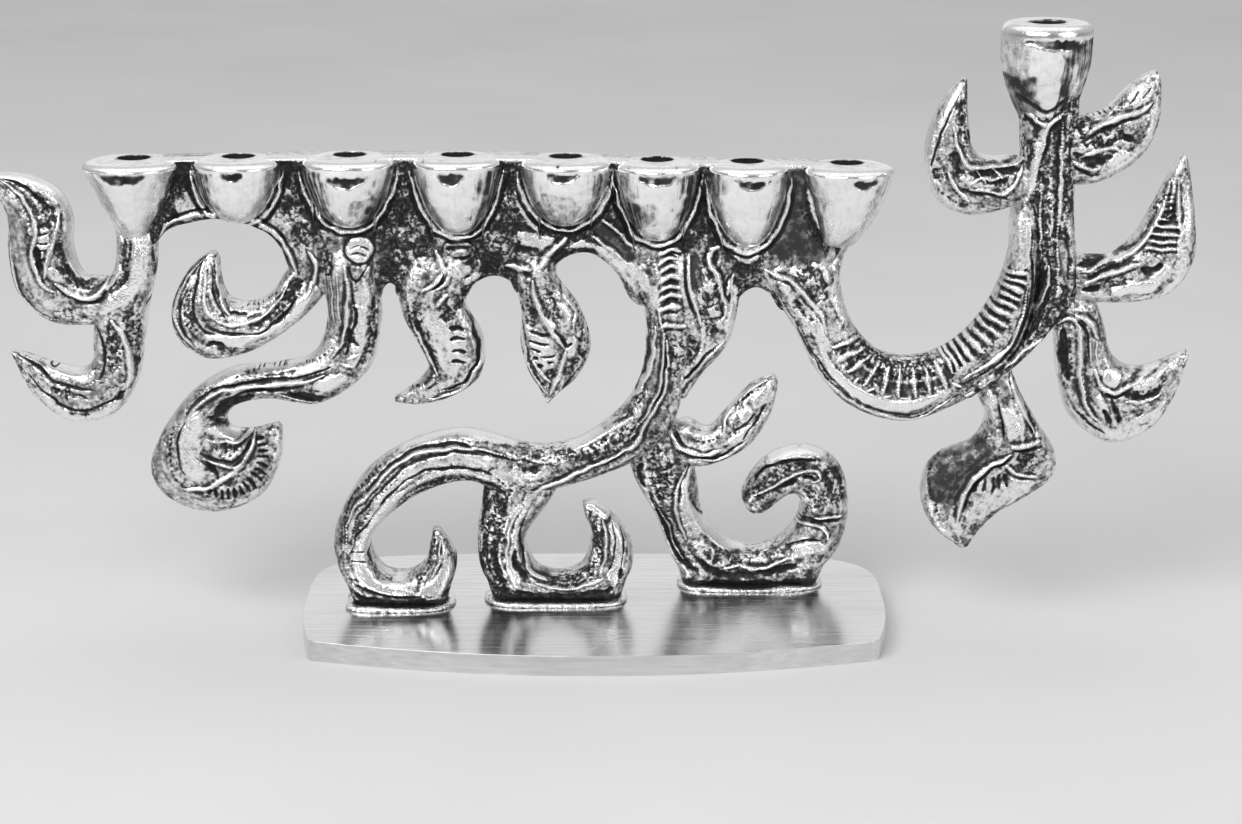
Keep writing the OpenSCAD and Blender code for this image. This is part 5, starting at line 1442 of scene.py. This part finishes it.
def cup_mesh(cup, metal):
    """A cup of revolution with a flat top, a flat back and a bore set off from its axis."""
    angle = np.linspace(0, 2 * math.pi, CUP_TURNS, endpoint=False)
    east = np.sin(angle)
    south = -np.cos(angle)
    outer, shade = cup_wall(cup, angle, east, south)
    flat = cup.radius(np.array([0.0]))[0]
    rim = np.stack([cup.x + flat * east, np.minimum(flat * south - cup.forward, cup.back)])
    mouth = np.stack([cup.x + cup.bore * east, cup.bore * south])
    rings = [outer[::-1]]
    tones = [shade[::-1]]
    for share in np.linspace(0, 1, CUP_FLAT_RINGS):
        ring = rim + (mouth - rim) * share
        rings.append(np.stack([*ring, np.full(CUP_TURNS, cup.top)], axis=-1)[None])
        wear = noise(ring[0] + 300, ring[1] + 300, 3.0, 3)
        tones.append((TOP_TONE + TOP_WEAR * wear + MOUTH_TONE * share ** 6)[None])
    # The bore, with painted shade that darkens further down.
    for share in np.linspace(0.04, 1, CUP_FLAT_RINGS):
        level = np.full(CUP_TURNS, cup.top - cup.bore_depth * share)
        rings.append(np.stack([*mouth, level], axis=-1)[None])
        tones.append(np.full((1, CUP_TURNS), BORE_SHADE_TONE + BORE_SHADE * share))
    tones = np.concatenate(tones)
    pits = np.full_like(tones, CUP_PITS)
    return loft_mesh(cup.node + "_cast", np.concatenate(rings), tones, pits, metal)


def cup_front(angle, radius):
    """The turn from the middle of a cup's front, the distance aside, and whether it faces forward."""
    turn = np.where(angle > math.pi, angle - 2 * math.pi, angle)
    return turn, radius * np.sin(turn), np.abs(turn) < FRONT_TURN


def row_paint(bowl, flank, seed, angle, deep, radius):
    """Tone and dents of a row cup: bright front, painted shade on the flanks, painted reflections as a grey
    patch and a dark fleck under the rim, and a painted highlight just under the top.
    """
    turn, aside, facing = cup_front(angle, radius)
    streak = swing(turn * 16, deep * 0.12, 0.7, seed)
    ragged = swing(aside, deep, 2.2, seed + 1)
    torn = swing(aside, deep, 1.3, seed + 4)
    body = ramp(deep - 2.8 + ragged, 0.7)
    # Painted shade: the flanks darken away from the bright middle.
    left = flank.left * ramp(-turn - FLANK_TURN + 0.5 * ragged, 0.25)
    right = flank.right * ramp(turn - FLANK_TURN + 0.5 * ragged, 0.25)
    tone = CUP_TONE + FLANK_SHADE_TONE * body * (left + right) * (0.75 + 1.3 * streak)
    tone = tone + 0.12 * streak * body
    # Painted reflection: a grey patch low on the bowl's front.
    if flank.patch_radius > 0:
        gap = np.hypot((aside - flank.patch_x) * 0.8, deep - flank.patch_deep)
        tone = tone + GREY_REFLECTION_TONE * ramp(flank.patch_radius - gap + 2.5 * ragged, 0.5) * facing
    # Painted reflection: a dark fleck under the front rim.
    share = (aside - bowl.fleck_x) / bowl.fleck_half
    hang = deep - bowl.fleck_deep + 0.9 * share ** 2
    fleck = np.hypot(share, hang / (1.1 + 0.9 * noise(aside, deep, 4.0, seed + 5)))
    reflection_spot = ramp(1.0 - fleck + 0.5 * torn + 0.3 * ragged, 0.25) * facing
    tone = toward(tone, reflection_spot, PAINTED_REFLECTION_TONE - 0.9 * ragged)
    # Painted highlight: a bright band just under the top on the front.
    tone = tone * (1 - RIM_HIGHLIGHT * bell(deep, 1.8, 0.8) * facing)
    pin = ramp(noise(aside, deep, 1.1, seed + 3) - 0.86, 0.05) * bell(deep, 0.5, 0.4)
    tone = tone + 0.5 * pin * facing
    tone = toward(tone, 0.6 * ramp(deep - bowl.height + 2.4, 0.9), FOOT_TONE)
    dent = REFLECTION_SPOT_DENT * reflection_spot + 0.5 * swing(turn * 6, deep, 5.0, seed + 2) + 0.25 * ragged * body
    return np.clip(tone, 0, 1), dent * ramp(deep - DENT_START, 0.8)


def raised_paint(seed, angle, deep, radius):
    """Tone and dents of the raised cup: bright oval front, painted shade on its sides, painted reflections
    as a low grey patch and a dark fleck under the rim, and a painted highlight just under the top.
    """
    turn, aside, facing = cup_front(angle, radius)
    ragged = swing(aside, deep, 2.6, seed)
    streak = swing(turn * 16, deep * 0.15, 0.7, seed + 4)
    torn = swing(aside, deep, 1.3, seed + 5)
    body = ramp(deep - 4.4 + ragged, 0.8)
    # Painted shade on the right and left sides.
    right = ramp(aside - 3.4 + 0.1 * (deep - 12) - 1.2 * ragged, 0.35) * body
    left = ramp(-aside - 6.2 + 2.5 * ragged, 1.2) * body
    # Painted reflection: a grey patch low on the left.
    patch = ramp(-aside - 6.4 + 0.12 * deep + ragged, 0.8) * ramp(deep - 15.5 + 2 * ragged, 1.0)
    tone = RAISED_TONE + 0.1 * (ragged + 0.5) * body
    tone = tone + right * (RAISED_RIGHT_SHADE_TONE + 0.5 * streak + 0.35 * ragged)
    tone = tone + left * RAISED_LEFT_SHADE_TONE + patch * (RAISED_GREY_REFLECTION_TONE + 0.3 * ragged)
    # Painted reflection: a dark fleck under the front rim.
    hang = (deep - 5.2 - 0.08 * aside) / (1.3 + 0.11 * aside)
    fleck = np.hypot((aside - 1.5) / 8.0, hang)
    reflection_spot = ramp(1.0 - fleck + 0.6 * torn + 0.5 * ragged, 0.2) * facing
    tone = toward(tone, reflection_spot, RAISED_PAINTED_REFLECTION_TONE - 0.8 * ragged)
    # Painted highlight: a bright band just under the top on the front.
    tone = tone * (1 - RIM_HIGHLIGHT * bell(deep, 1.6, 0.9) * facing)
    point = bell(deep + 0.62 * np.abs(aside + 0.5) + ragged, 26.6, 0.6)
    point = point * ramp(turn + 1.0, 0.2) * ramp(0.55 - turn, 0.15)
    tone = toward(tone, point, RAISED_POINT_TONE)
    swell = swing(turn * 6, deep, 6.0, seed + 2)
    dent = REFLECTION_SPOT_DENT * reflection_spot + 0.7 * point + 0.6 * right * facing + 0.5 * swell
    return np.clip(tone, 0, 1), dent * ramp(deep - DENT_START, 0.8)


def row_cup(index, metal):
    """One cup of the row. The end cups run on into their arms."""
    bowl = CUPS[index]
    end = ENDS.get(index, PLAIN_END)
    paint = partial(row_paint, bowl, FLANK_SHADES[index], CUP_SEED + 7 * index)
    cup = SimpleNamespace(
        node="cup_%d" % (index + 1), x=bowl.x, top=bowl.top, height=bowl.height + end.drop, end=end,
        forward=CUP_FORWARD, back=CUP_BACK, shoulder=SHOULDER, bore=BORE_RADIUS, bore_depth=BORE_DEPTH,
        radius=partial(bowl_radius, bowl), paint=paint)
    place(cup_mesh(cup, metal), cup.node)


def raised_cup(metal):
    """The ninth cup, on its own stem."""
    cup = SimpleNamespace(
        node="raised_cup", x=RAISED_X, top=RAISED_TOP, height=RAISED_HEIGHT + RAISED_SINK, end=PLAIN_END,
        forward=0.0, back=RAISED_RADIUS, shoulder=RAISED_SHOULDER, bore=RAISED_BORE_RADIUS,
        bore_depth=RAISED_BORE_DEPTH, radius=raised_radius, paint=partial(raised_paint, RAISED_SEED))
    place(cup_mesh(cup, metal), cup.node)


def new_material(name):
    """A material with its node tree and its shader."""
    material = bpy.data.materials.new(name)
    material.use_nodes = True
    tree = material.node_tree
    return material, tree, tree.nodes["Principled BSDF"]


def noise_node(tree, scale, detail, stretch=(1, 1, 1)):
    """Noise in the object's own coordinates."""
    where = tree.nodes.new("ShaderNodeTexCoord")
    mapping = tree.nodes.new("ShaderNodeMapping")
    mapping.inputs["Scale"].default_value = stretch
    texture = tree.nodes.new("ShaderNodeTexNoise")
    texture.inputs["Scale"].default_value = scale
    texture.inputs["Detail"].default_value = detail
    tree.links.new(where.outputs["Object"], mapping.inputs["Vector"])
    tree.links.new(mapping.outputs["Vector"], texture.inputs["Vector"])
    return texture.outputs["Fac"]


def math_node(tree, operation, *values):
    """A maths node fed by sockets or by plain numbers."""
    node = tree.nodes.new("ShaderNodeMath")
    node.operation = operation
    for socket, value in zip(node.inputs, values):
        if isinstance(value, (int, float)):
            socket.default_value = value
        else:
            tree.links.new(value, socket)
    return node.outputs[0]


def plus_noise(tree, value, grain, amount):
    """Adds noise about its middle value to another value."""
    raised = math_node(tree, "MULTIPLY_ADD", grain, amount, value)
    return math_node(tree, "SUBTRACT", raised, amount / 2)


def attribute_node(tree, name):
    """A field of the mesh, such as its tone."""
    node = tree.nodes.new("ShaderNodeAttribute")
    node.attribute_name = name
    return node.outputs["Fac"]


def ramp_node(tree, value, stops):
    """A ramp of greys through stops of place and level."""
    node = tree.nodes.new("ShaderNodeValToRGB")
    elements = node.color_ramp.elements
    elements.remove(elements[-1])
    elements[0].position = stops[0][0]
    for position, _ in stops[1:]:
        elements.new(position)
    for element, (_, level) in zip(elements, stops):
        element.color = (level, level, level, 1)
    tree.links.new(value, node.inputs["Fac"])
    return node.outputs["Color"]


def bump_node(tree, height, strength, distance, shader):
    """Fine bumps of a shader from a height."""
    bump = tree.nodes.new("ShaderNodeBump")
    bump.inputs["Strength"].default_value = strength
    bump.inputs["Distance"].default_value = distance
    tree.links.new(height, bump.inputs["Height"])
    tree.links.new(bump.outputs["Normal"], shader.inputs["Normal"])


def cast_metal(name, bright_roughness, streaks, relief):
    """Worn bright metal, dark in its hollows and under its painted shade, and punched where its pits field
    is high.
    """
    material, tree, shader = new_material(name)
    pits = attribute_node(tree, "pits")
    fine = noise_node(tree, *FINE_GRAIN)
    punched = ramp_node(tree, noise_node(tree, *PUNCH_GRAIN), [(0.42, 0.0), (0.64, 1.0)])
    hole = math_node(tree, "MULTIPLY", punched, pits)
    value = plus_noise(tree, attribute_node(tree, "patina_and_painted_light"), fine, FINE_SHARE)
    value = plus_noise(tree, value, noise_node(tree, *BROAD_GRAIN), BROAD_SHARE)
    chased = ramp_node(tree, noise_node(tree, *CHASED_GRAIN), [(0.38, 0.0), (0.62, 1.0)])
    depth = math_node(tree, "MULTIPLY_ADD", pits, PITTED_MARK_SHARE, MARK_SHARE)
    marks = math_node(tree, "MULTIPLY", math_node(tree, "SUBTRACT", chased, 0.5), depth)
    value = math_node(tree, "ADD", value, marks)
    value = math_node(tree, "MULTIPLY_ADD", hole, HOLE_SHARE, value)
    value = math_node(tree, "MULTIPLY_ADD", pits, PIT_SHARE, value)
    if streaks:
        value = plus_noise(tree, value, noise_node(tree, *STREAK_GRAIN), streaks)
    roughness = [(0.0, bright_roughness)] + CAST_ROUGHNESS
    ramps = {"Base Color": CAST_COLOUR, "Roughness": roughness, "Metallic": CAST_METALLIC}
    for socket, stops in ramps.items():
        tree.links.new(ramp_node(tree, value, stops), shader.inputs[socket])
    worked = math_node(tree, "MULTIPLY_ADD", marks, MARK_BUMP, fine)
    worked = math_node(tree, "MULTIPLY_ADD", hole, HOLE_BUMP, worked)
    bump_node(tree, worked, relief, CAST_BUMP, shader)
    return material


def brushed_metal(name, low, high, roughness, stretch):
    """Flat brushed metal with fine scratches."""
    material, tree, shader = new_material(name)
    scratch = noise_node(tree, *SCRATCH_GRAIN, stretch)
    mixed = plus_noise(tree, scratch, noise_node(tree, *CLOUD_GRAIN), 0.8)
    tree.links.new(ramp_node(tree, mixed, [(0.25, low), (0.75, high)]), shader.inputs["Base Color"])
    stops = [(0.2, roughness - 0.06), (0.8, roughness + 0.1)]
    tree.links.new(ramp_node(tree, mixed, stops), shader.inputs["Roughness"])
    shader.inputs["Metallic"].default_value = 1.0
    bump_node(tree, scratch, 0.12, BRUSHED_BUMP, shader)
    return material


def dress_node(node, material, bevel):
    """Gives a node of the frame its finish and eased edges."""
    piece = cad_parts[node]
    piece.data.materials.clear()
    piece.data.materials.append(material)
    weld = piece.modifiers.new("weld", "WELD")
    weld.merge_threshold = 0.00001
    ease = piece.modifiers.new("ease", "BEVEL")
    ease.width = bevel
    ease.segments = 3
    ease.limit_method = "ANGLE"
    ease.angle_limit = math.radians(40)
    ease.harden_normals = True


def floor():
    """A plain pale floor."""
    corners = [(-FLOOR_HALF, -FLOOR_HALF, 0), (FLOOR_HALF, -FLOOR_HALF, 0),
               (FLOOR_HALF, FLOOR_HALF, 0), (-FLOOR_HALF, FLOOR_HALF, 0)]
    mesh = bpy.data.meshes.new("floor")
    mesh.from_pydata(corners, [], [(0, 1, 2, 3)])
    material, tree, shader = new_material("pale_floor")
    shades = ramp_node(tree, noise_node(tree, *FLOOR_GRAIN), FLOOR_COLOUR)
    tree.links.new(shades, shader.inputs["Base Color"])
    shader.inputs["Roughness"].default_value = 0.8
    mesh.materials.append(material)
    piece = linked("floor", mesh)


def area_light(name, place_at, size, power, seen):
    """A soft rectangular light that faces the object."""
    light = bpy.data.lights.new(name, "AREA")
    light.shape = "RECTANGLE"
    light.size, light.size_y = size
    light.energy = power
    lamp = linked(name, light)
    lamp.location = place_at
    way = np.array(LIGHT_AIM) - np.array(place_at)
    tilt = math.atan2(math.hypot(way[0], way[1]), -way[2])
    lamp.rotation_euler = (tilt, 0, math.atan2(-way[0], way[1]))
    lamp.visible_camera = seen


def world_light():
    """A grey room, lighter overhead and behind the object."""
    world = bpy.data.worlds.new("room")
    bpy.context.scene.world = world
    world.use_nodes = True
    tree = world.node_tree
    where = tree.nodes.new("ShaderNodeTexCoord")
    toward = tree.nodes.new("ShaderNodeVectorMath")
    toward.operation = "DOT_PRODUCT"
    toward.inputs[1].default_value = ROOM_BRIGHT_SIDE
    tree.links.new(where.outputs["Generated"], toward.inputs[0])
    shades = ramp_node(tree, toward.outputs["Value"], ROOM_LEVELS)
    tree.links.new(shades, tree.nodes["Background"].inputs["Color"])


def camera():
    """The photo's point of view."""
    data = bpy.data.cameras.new("camera")
    data.sensor_width = CAMERA_SENSOR
    data.lens = CAMERA_LENS
    eye = linked("camera", data)
    eye.location = CAMERA_PLACE
    eye.rotation_euler = (math.radians(CAMERA_TILT), 0, 0)
    bpy.context.scene.camera = eye


def casting():
    """All branches of the casting, its web, its feet's pads and its cups."""
    metal = cast_metal("worn_cast_metal", bright_roughness=0.2, streaks=0, relief=0.5)
    cup_metal = cast_metal("polished_cup_metal", bright_roughness=0.16, streaks=0.16, relief=0.14)
    web("web", WEB_SEED, metal)
    for index, (node, path, work, rooted) in enumerate(BRANCHES):
        branch(node, path, work, BRANCH_SEED + 10 * index, rooted, metal)
    for index, (node, x, y, half_length) in enumerate(PADS):
        pad(node, x, y, half_length, PAD_SEED + 10 * index, metal)
    for index in range(len(CUPS)):
        row_cup(index, cup_metal)
    raised_cup(cup_metal)


# Each branch with its sketch, its strokes and whether it starts with a thinner root.
BRANCHES = [
    ("trunk", TRUNK, work_trunk, True),
    ("centre_foot", CENTRE_FOOT, work_centre_foot, False),
    ("right_foot", RIGHT_FOOT, work_right_foot, False),
    ("big_leaf", BIG_LEAF, work_big_leaf, True),
    ("sprout", SPROUT, work_sprout, False),
    ("left_arm", LEFT_ARM, work_left_arm, True),
    ("left_upper_leaf", LEFT_UPPER_LEAF, work_left_upper_leaf, False),
    ("inner_leaf", INNER_LEAF, work_inner_leaf, True),
    ("curl", CURL, work_curl, True),
    ("flame", FLAME, work_flame, True),
    ("pendant", PENDANT, work_pendant, True),
    ("right_arm", RIGHT_ARM, work_right_arm, True),
    ("stem", STEM, work_stem, False),
    ("raised_left_leaf", RAISED_LEFT_LEAF, work_raised_left_leaf, False),
    ("raised_upper_leaf", RAISED_UPPER_LEAF, work_raised_upper_leaf, False),
    ("raised_middle_leaf", RAISED_MIDDLE_LEAF, work_raised_middle_leaf, False),
    ("raised_lower_leaf", RAISED_LOWER_LEAF, work_raised_lower_leaf, False),
    ("raised_bottom_leaf", RAISED_BOTTOM_LEAF, work_raised_bottom_leaf, False)]
# The pads of the feet: foot, x, y and half length.
PADS = [("trunk", -62, 0, 17.0), ("centre_foot", -12.4, 5, 22.4), ("right_foot", 49.5, 20, 23.4)]

casting()
satin_plate = brushed_metal("satin_plate", low=0.64, high=0.86, roughness=0.2, stretch=(0.12, 3, 3))
screw_steel = brushed_metal("screw_steel", low=0.35, high=0.5, roughness=0.35, stretch=(1, 1, 1))
dress_node("base_plate", satin_plate, bevel=0.0008)
dress_node("foot_screws", screw_steel, bevel=0.0002)
floor()
for lamp_row in LIGHTS:
    area_light(*lamp_row)
world_light()
camera()
bpy.context.scene.view_settings.view_transform = "Standard"
